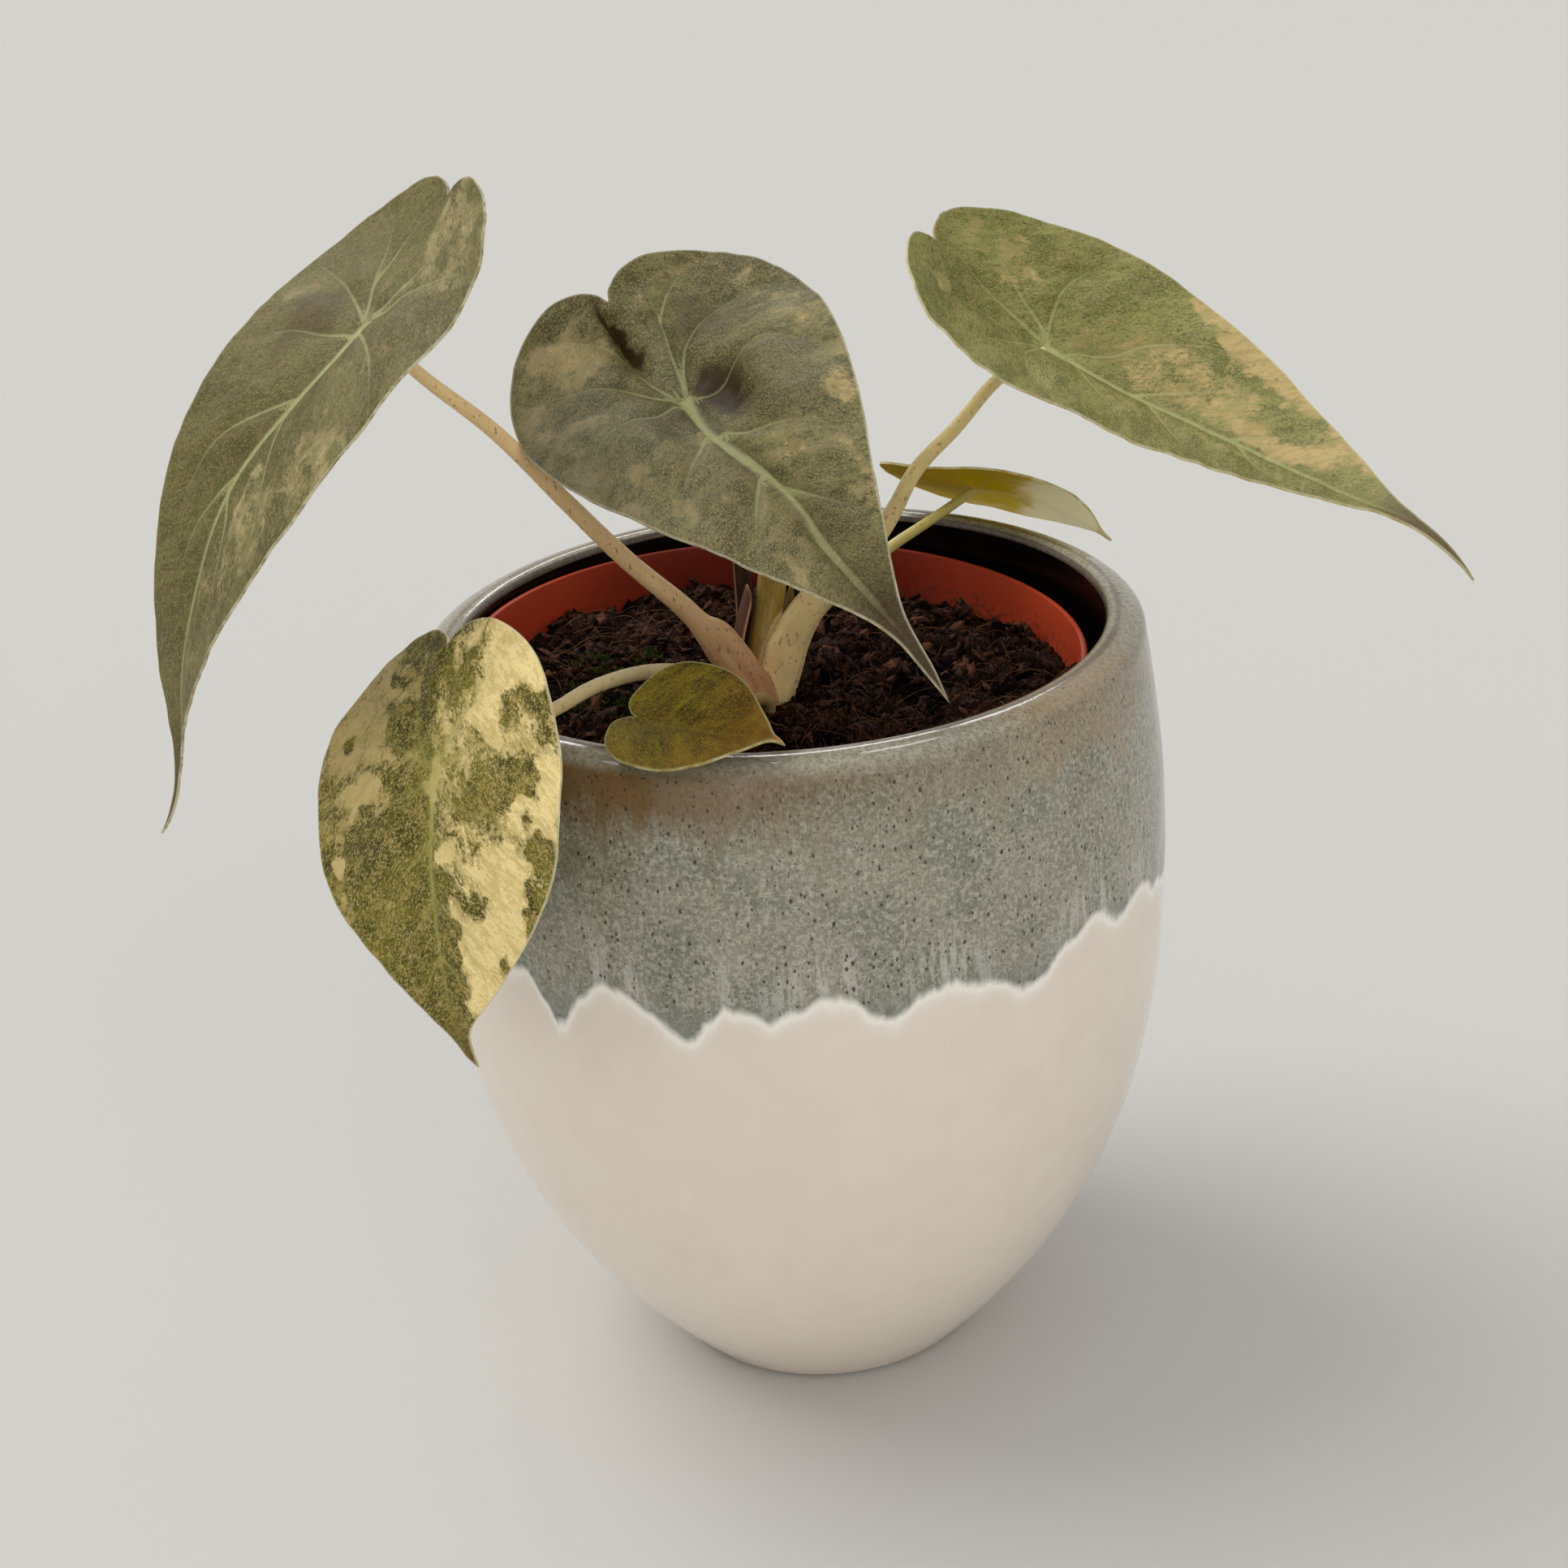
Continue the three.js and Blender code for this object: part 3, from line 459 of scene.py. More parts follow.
class Finish:
    """A material under construction: its nodes are added by one method."""

    def __init__(self, name):
        self.surface = bpy.data.materials.new(name)
        self.surface.use_nodes = True
        self.tree = self.surface.node_tree
        self.tree.nodes.clear()

    def node(self, kind, settings=None, inputs=None):
        node = self.tree.nodes.new(kind)
        for key, value in (settings or {}).items():
            setattr(node, key, value)
        for key, value in (inputs or {}).items():
            if isinstance(value, Number):
                value = value.socket
            if isinstance(value, bpy.types.NodeSocket):
                self.tree.links.new(value, node.inputs[key])
            else:
                node.inputs[key].default_value = value
        return node

    def number(self, kind, settings=None, inputs=None, output=0):
        return Number(self, self.node(kind, settings, inputs).outputs[output])

    def mix(self, share, first, second):
        """The first colour, turned into the second by a share from 0 to 1."""
        node = self.node(
            "ShaderNodeMix", {"data_type": "RGBA", "clamp_factor": True}, {0: share, 6: first, 7: second})
        return node.outputs[2]

    def place(self):
        """Object coordinates in millimetres."""
        coordinates = self.node("ShaderNodeTexCoord").outputs["Object"]
        scale = self.node(
            "ShaderNodeVectorMath", {"operation": "SCALE"}, {"Vector": coordinates, "Scale": 1 / MM})
        return scale.outputs[0]

    def attribute(self, name, output="Fac"):
        socket = self.node("ShaderNodeAttribute", {"attribute_name": name}).outputs[output]
        return Number(self, socket) if output == "Fac" else socket

    def parts(self, vector):
        node = self.node("ShaderNodeSeparateXYZ", None, {0: vector})
        return [Number(self, socket) for socket in node.outputs]

    def vector(self, x=0.0, y=0.0, z=0.0):
        return self.node("ShaderNodeCombineXYZ", None, {0: x, 1: y, 2: z}).outputs[0]

    def stretched(self, vector, factors):
        return self.node(
            "ShaderNodeVectorMath", {"operation": "MULTIPLY"}, {0: vector, 1: factors}).outputs[0]

    def noise(self, vector, scale, detail=2.0, roughness=0.5, distortion=0.0):
        return self.number("ShaderNodeTexNoise", {"noise_dimensions": "3D"}, {
            "Vector": vector, "Scale": scale, "Detail": detail, "Roughness": roughness,
            "Distortion": distortion})

    def cells(self, vector, scale):
        """Distance to the nearest of many scattered spots, in cells."""
        return self.number("ShaderNodeTexVoronoi", {"feature": "F1"}, {"Vector": vector, "Scale": scale})

    def bump(self, height, distance, strength=1.0):
        return self.node("ShaderNodeBump", None, {
            "Height": height, "Distance": distance * MM, "Strength": strength}).outputs[0]

    def shade(self, **inputs):
        """Ends the material with one Principled shader; a varying normal comes as normal=."""
        names = {key: key.replace("_", " ").title() for key in inputs}
        names.update({"ior": "IOR", "specular": "Specular IOR Level"})
        shader = self.node(
            "ShaderNodeBsdfPrincipled", None, {names[key]: value for key, value in inputs.items()})
        self.node("ShaderNodeOutputMaterial", None, {"Surface": shader.outputs[0]})
        return self.surface


def deselect_all():
    if bpy.context.object and bpy.context.object.mode != "OBJECT":
        bpy.ops.object.mode_set(mode="OBJECT")
    bpy.ops.object.select_all(action="DESELECT")


def pick(*pieces):
    deselect_all()
    for piece in pieces:
        piece.select_set(True)
    bpy.context.view_layer.objects.active = pieces[0]


def on_all_faces(operator, **options):
    """Runs one mesh operator on the whole of the active piece."""
    bpy.ops.object.mode_set(mode="EDIT")
    bpy.ops.mesh.select_all(action="SELECT")
    operator(**options)
    bpy.ops.object.mode_set(mode="OBJECT")


def join(pieces):
    pick(*pieces)
    bpy.ops.object.join()
    return bpy.context.object


def apply_modifiers(piece):
    pick(piece)
    for modifier in list(piece.modifiers):
        bpy.ops.object.modifier_apply(modifier=modifier.name)


def points_of(piece):
    points = np.zeros(len(piece.data.vertices) * 3)
    piece.data.vertices.foreach_get("co", points)
    return points.reshape(-1, 3)


def normals_of(piece):
    normals = np.zeros(len(piece.data.vertices) * 3)
    piece.data.vertex_normals.foreach_get("vector", normals)
    return normals.reshape(-1, 3)


def move_points(piece, points):
    piece.data.vertices.foreach_set("co", np.asarray(points, float).ravel())
    piece.data.update()


def write_attribute(piece, name, values, kind="FLOAT"):
    values = np.asarray(values, float)
    layer = piece.data.attributes.new(name, kind, "POINT")
    key = {"FLOAT": "value", "FLOAT_VECTOR": "vector", "FLOAT_COLOR": "color"}[kind]
    layer.data.foreach_set(key, values.ravel())


def finish_piece(piece, name, slot, *nodes, materials=(), angle=None):
    """Names the piece, shades it and hands it to the frame."""
    piece.name = name
    piece.data.name = name
    for material in materials:
        piece.data.materials.append(material)
    pick(piece)
    if angle:
        bpy.ops.object.shade_smooth_by_angle(angle=math.radians(angle))
    else:
        bpy.ops.object.shade_smooth()
    deselect_all()
    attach(piece, "root")
    if nodes:
        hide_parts(*nodes)
    return piece


def ring_body(profile, sides):
    """A turned body, extruded ring by ring up its profile of (radius, height) in millimetres.
    A profile that starts or ends on the axis is closed there."""
    deselect_all()
    first_radius, first_height = profile[1]
    bpy.ops.mesh.primitive_circle_add(vertices=sides, radius=first_radius * MM, fill_type="TRIFAN")
    piece = bpy.context.object
    bpy.ops.object.mode_set(mode="EDIT")
    bpy.ops.mesh.select_all(action="SELECT")
    bpy.ops.transform.translate(value=(0, 0, first_height * MM))
    bpy.ops.mesh.region_to_loop()
    radius, height = first_radius, first_height
    for next_radius, next_height in profile[2:]:
        rise = (next_height - height) * MM
        bpy.ops.mesh.extrude_region_move(TRANSFORM_OT_translate={"value": (0, 0, rise)})
        share = next_radius / radius
        bpy.ops.transform.resize(value=(share, share, 1), center_override=(0, 0, next_height * MM))
        if next_radius == 0:
            bpy.ops.mesh.merge(type="CENTER")
            break
        radius, height = next_radius, next_height
    bpy.ops.mesh.select_all(action="SELECT")
    bpy.ops.mesh.remove_doubles(threshold=1e-7)
    bpy.ops.mesh.normals_make_consistent(inside=False)
    bpy.ops.object.mode_set(mode="OBJECT")
    return piece


def pot_outer_radius(z):
    if z > POT_WIDEST_AT:
        share = (z - POT_WIDEST_AT) / (POT_HEIGHT - POT_WIDEST_AT)
        return POT_RADIUS - (POT_RADIUS - POT_TOP_RADIUS) * share ** 1.5
    belly = (1 - (1 - z / POT_WIDEST_AT) ** BELLY_FULLNESS) ** (1 / BELLY_SHARPNESS)
    return FOOT_RADIUS + (POT_RADIUS - FOOT_RADIUS) * belly


def drip_line(angle):
    """Height of the glaze's lower edge at angles in degrees: round drips with round notches between them."""
    turns, heights = np.array(GLAZE_EDGE, float).T
    index = np.clip(np.searchsorted(turns, angle) - 1, 0, len(turns) - 2)
    share = (angle - turns[index]) / (turns[index + 1] - turns[index])
    first, second = heights[index], heights[index + 1]
    from_low = np.where(first < second, share, 1 - share)
    rounded = from_low ** 1.3
    rounded = rounded * rounded * (3 - 2 * rounded)
    return np.minimum(first, second) + np.abs(second - first) * (0.75 * rounded + 0.25 * from_low)


def pot_profile():
    """Radii and heights from the middle of the foot, up the outside, over the lip and down the inside."""
    top = POT_HEIGHT - SHOULDER
    ring = FOOT_RADIUS - FOOT_RING
    outer = [(0, FOOT_HOLLOW), (ring - 1.4, FOOT_HOLLOW), (ring - 0.5, 0.8), (ring, 0.25), (ring + 0.5, 0)]
    outer += [(FOOT_RADIUS - 1.2, 0), (FOOT_RADIUS - 0.5, 0.15), (FOOT_RADIUS - 0.05, 0.5)]
    above_foot = [np.linspace(0.9, 1, 2), np.linspace(1.5, 16, 20), np.arange(18, 82, 2.2)]
    round_drips = [np.arange(82, 100, 0.75), np.arange(100.5, top - 1, 1.4)]
    outer += [(pot_outer_radius(z), z) for z in np.concatenate(above_foot + round_drips)]
    edge = pot_outer_radius(top)
    for turn in range(0, 91, 10):
        angle = math.radians(turn)
        outer.append((LIP_RADIUS + (edge - LIP_RADIUS) * math.cos(angle), top + SHOULDER * math.sin(angle)))
    rounding = ((0.8, 0.03), (1.5, 0.25), (1.9, 0.7))
    lip = [(LIP_RADIUS - inward, POT_HEIGHT - down) for inward, down in rounding]
    inner = [(LIP_INNER_RADIUS, POT_HEIGHT - 1.4), (LIP_INNER_RADIUS, POT_HEIGHT - 4)]
    for z in np.concatenate([np.linspace(POT_HEIGHT - 8, 40, 18), np.linspace(34, POT_FLOOR + 3, 6)]):
        inner.append((min(LIP_INNER_RADIUS, pot_outer_radius(z) - POT_WALL), z))
    floor_radius = pot_outer_radius(POT_FLOOR) - POT_WALL
    inner += [(floor_radius - 3, POT_FLOOR + 0.7), (floor_radius - 6, POT_FLOOR), (0, POT_FLOOR)]
    return outer + lip + inner


def glaze_fields(finish):
    """Places, noises and masks that the two glazes and the lip share."""
    place = finish.place()
    x, y, z = finish.parts(place)
    streak_place = finish.stretched(place, (1, 1, 0.13))
    streaks = finish.noise(streak_place, 0.8, 2, 0.6)
    fine_streaks = finish.noise(streak_place, 2.4, 2, 0.6)
    lobes = finish.noise(finish.stretched(place, (1, 1, 0.5)), 0.3, 2, 0.5)
    mottle = finish.noise(place, 1.2, 4, 0.74)
    clouds = finish.noise(place, 0.11, 2, 0.55)
    edge = finish.attribute("above_glaze_edge")
    ragged = edge + (lobes - 0.5) * 3.2 + (mottle - 0.5) * 0.9 + (fine_streaks - 0.5) * 0.35
    leftwards = 1 - (x + (clouds - 0.5) * 30).step(-26.0, 26.0) * (1 - y.step(10.0, 40.0)) * 0.72
    across, aside = x - 44, y + 36
    patch = 1 - ((across * across + aside * aside).root() + (mottle - 0.5) * 14).step(8.0, 24.0)
    return SimpleNamespace(
        place=place, z=z, radius=(x * x + y * y).root(), streaks=streaks, fine_streaks=fine_streaks,
        mottle=mottle, clouds=clouds, ragged=ragged, coloured=ragged.step(-0.9, 1.1),
        shoulder=z + ((clouds - 0.5) * 16 + (streaks - 0.5) * 8 + (fine_streaks - 0.5) * 3),
        leftwards=leftwards, patch=patch, on_lip=z.step(129.6, 131.2))


def flowing_glaze_tone(finish, at, settings):
    """The mottled upper glaze: pale wisps over its edge, dark drip tips and a brown shoulder."""
    notch = finish.attribute("glaze_notch")
    body = finish.mix(at.clouds.step(0.36, 0.64), settings.grey_glaze, tone(146, 142, 126))
    body = finish.mix(at.mottle.step(0.42, 0.62) * 0.62, body, settings.pale_streak)
    dark_grain = finish.noise(at.place, 2.6, 2, 0.7).step(0.54, 0.66)
    body = finish.mix(dark_grain * 0.45, body, tone(100, 100, 84))
    body = finish.mix(at.fine_streaks.step(0.5, 0.7) * 0.3, body, tone(116, 116, 104))
    wisps = finish.noise(finish.stretched(at.place, (1, 1, 0.11)), 0.9, 3, 0.66)
    above_edge = (1 - at.ragged.step(1.0, 11.0 * notch + 3.0)) * (notch * 0.7 + 0.3)
    body = finish.mix(above_edge * wisps.step(0.46, 0.6) * 0.75, body, tone(196, 194, 184))
    tips = (1 - at.ragged.step(2.0, 6.5)) * (1 - notch) + (1 - at.ragged.step(0.4, 2.4)) * 0.6
    body = finish.mix(tips * 0.5, body, tone(112, 117, 110))
    brown = at.shoulder.step(117.5, 127.5) * at.leftwards
    body = finish.mix(brown * 0.9, body, settings.rim_brown)
    drops = finish.noise(finish.stretched(at.place, (0.5, 0.5, 0.2)), 0.3, 2, 0.4, 0.6).step(0.52, 0.6)
    drops = drops * at.shoulder.step(108.0, 118.0) * at.leftwards
    body = finish.mix(drops * 0.45, body, tone(124, 108, 78))
    return finish.mix(at.patch * at.shoulder.step(118.0, 124.0) * 0.3, body, tone(162, 134, 100))


def glaze_specks(finish, at):
    """Share of iron specks, of finer ones and of short dashes under the rim."""
    speck_size = finish.noise(at.place, 0.9, 1, 0.5).step(0.34, 0.72) * 0.2 + 0.09
    speck_cells = finish.cells(finish.stretched(at.place, (1, 1, 0.62)), 0.85)
    specks = 1 - (speck_cells / speck_size).step(0.6, 1.15)
    fine_specks = 1 - finish.cells(finish.stretched(at.place, (1, 1, 0.7)), 1.5).step(0.14, 0.26)
    dashes = 1 - finish.cells(finish.stretched(at.place, (1, 1, 0.3)), 1.05).step(0.12, 0.2)
    dashes = dashes * at.z.step(114.0, 125.0)
    return (specks * 0.95).larger(fine_specks * 0.5).larger(dashes * 0.62) * at.coloured


def white_glaze_tone(finish, at, settings):
    """The white lower glaze, brighter just under the drips, with a few stray specks."""
    white = finish.mix(at.clouds.step(0.38, 0.66) * 0.4, settings.white_glaze, tone(228, 214, 198))
    stray = 1 - finish.cells(at.place, 0.07).step(0.012, 0.02)
    white = finish.mix(stray * 0.7, white, tone(96, 84, 70))
    halo = at.ragged.step(-4.0, -1.2) * 0.35 + at.ragged.step(-2.2, -0.9) * 0.5
    return finish.mix(halo, white, tone(250, 246, 236))


def add_lip(finish, at, settings, colour):
    """The colour with the speckled lip, whose pale tone is brightened as a painted reflection of the bright
    room, its worn brown crest and the dark line inside it.
    """
    # Painted reflection: the lip's grey glaze is made paler to stand for the bright room that it reflects.
    lip_tone_and_reflection = finish.mix(at.mottle.step(0.36, 0.64), tone(146, 139, 118), tone(178, 173, 156))
    lip_tone_and_reflection = finish.mix(at.patch * 0.5, lip_tone_and_reflection, tone(168, 134, 96))
    colour = finish.mix(at.on_lip * 0.9, colour, lip_tone_and_reflection)
    lip_specks = (1 - finish.cells(at.place, 1.3).step(0.16, 0.26)) * at.on_lip
    colour = finish.mix(lip_specks * 0.55, colour, settings.speck)
    wear = finish.noise(at.place, 0.06, 1, 0.5).step(0.34, 0.6)
    crest = 1 - abs(at.radius - 55.1 + (at.streaks - 0.5) * 0.7).step(0.15, 0.6 + wear * 0.5)
    colour = finish.mix(crest * at.on_lip * (wear * 0.5 + 0.4), colour, tone(104, 86, 52))
    inner_line = 1 - abs(at.radius - 53.15).step(0.1, 0.45)
    return finish.mix(inner_line * at.z.step(129.0, 130.5) * 0.7, colour, tone(64, 50, 40))


def glazed_finish(settings):
    """Two glazes that meet in drips, over bare clay under the foot ring."""
    finish = Finish("glazed_ceramic")
    at = glaze_fields(finish)
    body = flowing_glaze_tone(finish, at, settings)
    body = finish.mix(glaze_specks(finish, at), body, settings.speck)
    colour = finish.mix(at.coloured, white_glaze_tone(finish, at, settings), body)
    colour = add_lip(finish, at, settings, colour)
    bare_clay = 1 - at.z.step(0.55, 1.0)
    colour = finish.mix(bare_clay, colour, tone(206, 190, 164))
    height = at.mottle * 0.3 + finish.noise(at.place, 0.12, 1, 0.5) * 2.0
    rough = at.mottle * 0.1 + 0.05 + bare_clay * 0.5 + at.coloured * (1 - at.on_lip) * 0.06
    return finish.shade(
        base_color=colour, roughness=rough, normal=finish.bump(height, 0.12, 0.5), ior=1.5, specular=0.45)


def dark_glaze_and_shade_finish(settings):
    finish = Finish("dark_inside_glaze_and_shade")
    place = finish.place()
    clouds = finish.noise(place, 0.2, 2, 0.6)
    scratches = finish.noise(finish.stretched(place, (1, 1, 0.1)), 1.5, 4, 0.7).step(0.66, 0.74)
    # Painted shade: the inside's dark glaze is made near black for the shade in the deep gap between the
    # pots.
    colour = finish.mix(clouds.step(0.4, 0.7) * 0.6, settings.inside, tone(12, 9, 8))
    colour = finish.mix(scratches * 0.25, colour, tone(70, 62, 56))
    return finish.shade(
        base_color=colour, roughness=clouds * 0.2 + 0.16, specular=0.22, normal=finish.bump(clouds, 0.2, 0.3))


def plastic_finish(settings):
    finish = Finish("matte_clay_plastic")
    place = finish.place()
    cloud = finish.noise(place, 0.06, 4, 0.6)
    grain = finish.noise(place, 3.5, 3, 0.7)
    x, _, z = finish.parts(place)
    colour = finish.mix(cloud.step(0.35, 0.7) * 0.4, settings.clay, tone(168, 54, 26))
    # Painted shade: the plastic is darker in a band round the middle in x, standing for the leaves' shade on
    # the inner wall behind them.
    colour = finish.mix((1 - abs(x - 3).step(16.0, 46.0)) * 0.9, colour, tone(112, 29, 10))
    scuff_place = finish.stretched(place, (0.3, 0.3, 3))
    scuffs = finish.noise(scuff_place, 1.4, 4, 0.7).step(0.62, 0.74)
    colour = finish.mix(scuffs * 0.25, colour, tone(184, 104, 74))
    # Dark blotches low on the plastic, at and below the soil's top.
    low = 1 - (z + (cloud - 0.5) * 10).step(117.0, 121.5)
    low_blotches = low * finish.noise(place, 0.9, 5, 0.7).step(0.45, 0.62)
    colour = finish.mix(low_blotches * 0.75, colour, tone(58, 34, 22))
    return finish.shade(
        base_color=colour, roughness=0.42 + cloud * 0.2 + low_blotches * 0.25, specular=0.25,
        normal=finish.bump(grain + scuffs * 0.6, 0.05, 0.5))


def soil_finish(settings):
    finish = Finish("damp_peat")
    place = finish.place()
    lumps = finish.noise(place, 0.35, 5, 0.75)
    grains = finish.noise(place, 2.0, 3, 0.75)
    strand_place = finish.stretched(place, (1, 0.28, 0.6))
    strands = finish.noise(strand_place, 1.8, 3, 0.7, 1.2)
    # Painted light and shade: the soil goes near black in its hollows and keeps the peat's colour on its
    # lumps; the paler dry bits and strands lie only on the lumps, where they also stand for light catching
    # them.
    high = (finish.attribute("lift") + (lumps - 0.5) * 2.5 + (grains - 0.5) * 1.5).step(-1.0, 1.5)
    colour = finish.mix(high, tone(5, 1, 0), settings.peat)
    colour = finish.mix(grains.step(0.5, 0.66) * high * 0.85, colour, settings.bark)
    colour = finish.mix(strands.step(0.56, 0.66) * high * 0.6, colour, tone(118, 76, 52))
    return finish.shade(
        base_color=colour, roughness=0.75 + grains * 0.25, specular=0.05,
        normal=finish.bump(grains + lumps, 0.5, 0.9))


def flecked_finish(name, base, other, scale, roughness):
    """A small rough thing whose colour wanders between two tones."""
    finish = Finish(name)
    place = finish.place()
    wander = finish.noise(place, scale, 3, 0.7)
    colour = finish.mix(wander.step(0.42, 0.68), base, other)
    return finish.shade(
        base_color=colour, roughness=roughness + wander * 0.15, specular=0.1,
        normal=finish.bump(wander, 0.25, 0.6))


def stalk_finish(settings):
    finish = Finish("leaf_stalk")
    along = finish.attribute("stalk_place", "Vector")
    base = finish.attribute("stalk_tone", "Color")
    streaks = finish.noise(finish.stretched(along, (1, 1, 0.12)), 1.1, 4, 0.6)
    dash_size = finish.noise(along, 0.35, 2, 0.5)
    dash_cells = finish.cells(finish.stretched(along, (1, 1, 0.42)), 1.35)
    dashes = 1 - (dash_cells / (dash_size * 0.5)).step(0.4, 1.1)
    blush = finish.noise(along, 0.16, 3, 0.55).step(0.45, 0.7)
    pale = finish.mix(streaks.step(0.42, 0.66) * 0.35, base, tone(214, 192, 144))
    colour = finish.mix(blush * 0.16, pale, tone(160, 106, 70))
    colour = finish.mix(dashes * 0.66, colour, settings.dash)
    return finish.shade(
        base_color=colour, roughness=0.36 + streaks * 0.14,
        normal=finish.bump(streaks + dashes * 0.3, 0.12, 0.6), specular=0.3, subsurface_weight=0.3,
        subsurface_scale=0.002, subsurface_radius=(1, 0.7, 0.35))


def sheath_finish(name, dark, light, edge):
    finish = Finish(name)
    along = finish.attribute("stalk_place", "Vector")
    streaks = finish.noise(finish.stretched(along, (1, 1, 0.08)), 1.6, 4, 0.65)
    colour = finish.mix(streaks.step(0.42, 0.66) * 0.7, dark, light)
    colour = finish.mix(finish.attribute("pale_edge").step(0.4, 0.9), colour, edge)
    return finish.shade(
        base_color=colour, roughness=0.4 + streaks * 0.15, specular=0.3,
        normal=finish.bump(streaks, 0.15, 0.6))


# Leaf looks, for the left, centre, right, cream, front and back leaf: tones from 0 to 255, and shares
LOOK_ROWS = {
    # Dark green
    "deep": ((78, 77, 32), (70, 71, 35), (94, 100, 44), (64, 61, 4), (48, 44, 0), (110, 102, 4)),
    # Light green
    "light": (
        (109, 107, 56), (122, 119, 73), (142, 144, 82),
        (117, 110, 32), (124, 110, 26), (146, 134, 20)),
    # Tan wash
    "warm": ((122, 104, 68), (116, 98, 68), (142, 128, 76), (180, 156, 86), (110, 68, 8), (140, 118, 24)),
    # Fine dark grain
    "bronze": ((68, 54, 30), (52, 42, 26), (80, 70, 36), (54, 50, 6), (54, 36, 0), (96, 76, 10)),
    # Cream of one half
    "pale": (
        (176, 160, 112), (186, 166, 114), (196, 170, 114),
        (252, 228, 162), (144, 124, 44), (180, 168, 124)),
    # Cream of the other half, and fine pale grain
    "pale_far": (
        (154, 136, 92), (164, 146, 100), (176, 158, 104),
        (206, 184, 126), (140, 120, 36), (164, 148, 66)),
    # Veins
    "vein": (
        (178, 176, 122), (162, 162, 110), (174, 174, 116),
        (180, 174, 96), (112, 100, 42), (150, 140, 50)),
    # Beside the veins: darker bands, partly the leaf's own, partly painted shade in the vein valleys
    "vein_flank_and_shade": ((60, 57, 26), (52, 49, 22), (74, 75, 32), (78, 74, 16), (62, 48, 8), (110, 98, 20)),
    # Dark areas: the leaf's own bronze and painted shade in its pockets
    "bronze_and_shade_tone": ((68, 44, 14), (44, 28, 2), (70, 60, 30), (58, 54, 12), (60, 40, 6), (80, 70, 20)),
    # Drawn-out tip
    "tip": ((92, 66, 50), (66, 46, 36), (96, 82, 60), (96, 76, 48), (160, 114, 70), (130, 114, 84)),
    # Share of the length where the tip's tone starts
    "tip_from": (0.8, 0.72, 0.76, 0.86, 0.88, 0.9),
    # Underside's green; the back leaf's bright yellow is painted light, standing for the light that shines
    # through that blade
    "under": (
        (122, 118, 68), (126, 118, 70), (136, 136, 76),
        (132, 126, 56), (122, 110, 36), (232, 212, 0)),
    # Underside's cream
    "under_pale": (
        (168, 158, 112), (172, 156, 110), (190, 174, 122),
        (206, 186, 130), (160, 148, 90), (246, 238, 216)),
    # Edge line and rim
    "margin": (
        (206, 200, 168), (206, 200, 172), (196, 190, 150),
        (226, 216, 176), (186, 176, 130), (200, 190, 150)),
    # Specular level
    "gloss": (0.14, 0.12, 0.14, 0.14, 0.07, 0.1),
    # Subsurface weight
    "glow": (0.0, 0.0, 0.0, 0.0, 0.0, 0.85),
    # Softness of the patches' edges
    "soft": (0.07, 0.16, 0.09, 0.06, 0.2, 0.2),
    # Strength of the vein lines
    "veins": (0.9, 0.98, 0.9, 0.5, 0.4, 0.35),
    # Strength of the tone beside them
    "flank": (0.7, 0.95, 0.65, 0.4, 0.4, 0.1),
    # Paleness near the veins
    "halo": (0.14, 0.1, 0.12, 0.26, 0.1, 0.05),
    # Tan wash towards the tip
    "blush": (0.0, 0.0, 0.0, 0.0, 0.5, 0.0),
    # Strength of the bump
    "bump": (0.6, 0.7, 0.6, 0.4, 0.6, 0.6),
    # Place in the noise
    "seed": (3.1, 7.7, 12.3, 21.9, 30.5, 41.2),
}
LEAF_LOOKS = {
    name: {key: values[number] for key, values in LOOK_ROWS.items()}
    for number, name in enumerate(
        ("leaf_left", "leaf_centre", "leaf_right", "leaf_cream", "leaf_front", "leaf_back"))
}


def leaf_fields(finish, look):
    """Attributes and noises that the steps of a leaf's colour share."""
    x, y, _ = finish.parts(finish.attribute("flat_place", "Vector"))
    seed = look["seed"]
    slanted = finish.vector(x - abs(y) * 0.7 + seed * 10, y, seed)
    streaky = finish.stretched(slanted, (1.0, 0.6, 1))
    return SimpleNamespace(
        x=x, y=y, slanted=slanted,
        vein=finish.attribute("vein"), vein_side=finish.attribute("vein_side"),
        pale=finish.attribute("pale_share"), tip_share=finish.attribute("tip_share"),
        drift=finish.noise(streaky, 0.09, 2, 0.55), mottle=finish.noise(streaky, 0.5, 5, 0.76),
        grain=finish.noise(slanted, 1.9, 3, 0.75), fine=finish.noise(slanted, 3.4, 2, 0.75),
        blotch=finish.noise(slanted, 0.24, 6, 0.7, 0.3),
        second=finish.noise(finish.vector(x + 40, y * 0.85, seed + 5), 0.42, 5, 0.74, 0.3))


def green_ground(finish, at, look):
    """Green with a tan wash, dark streaks along the side veins, and dark and pale grain."""
    tint = (at.drift * 0.9 + at.mottle * 1.1 - 0.5).step(0.32, 0.68)
    colour = finish.mix(tint, tone(*look["deep"]), tone(*look["light"]))
    colour = finish.mix(at.second.step(0.5, 0.58) * 0.48, colour, tone(*look["warm"]))
    striae = finish.noise(finish.stretched(at.slanted, (2.6, 0.3, 1)), 0.8, 2, 0.6)
    colour = finish.mix(striae.step(0.5, 0.62) * 0.34, colour, tone(*look["deep"]))
    colour = finish.mix(at.grain.step(0.51, 0.6) * 0.7, colour, tone(*look["bronze"]))
    return finish.mix(at.fine.step(0.52, 0.6) * 0.58, colour, tone(*look["pale_far"]))


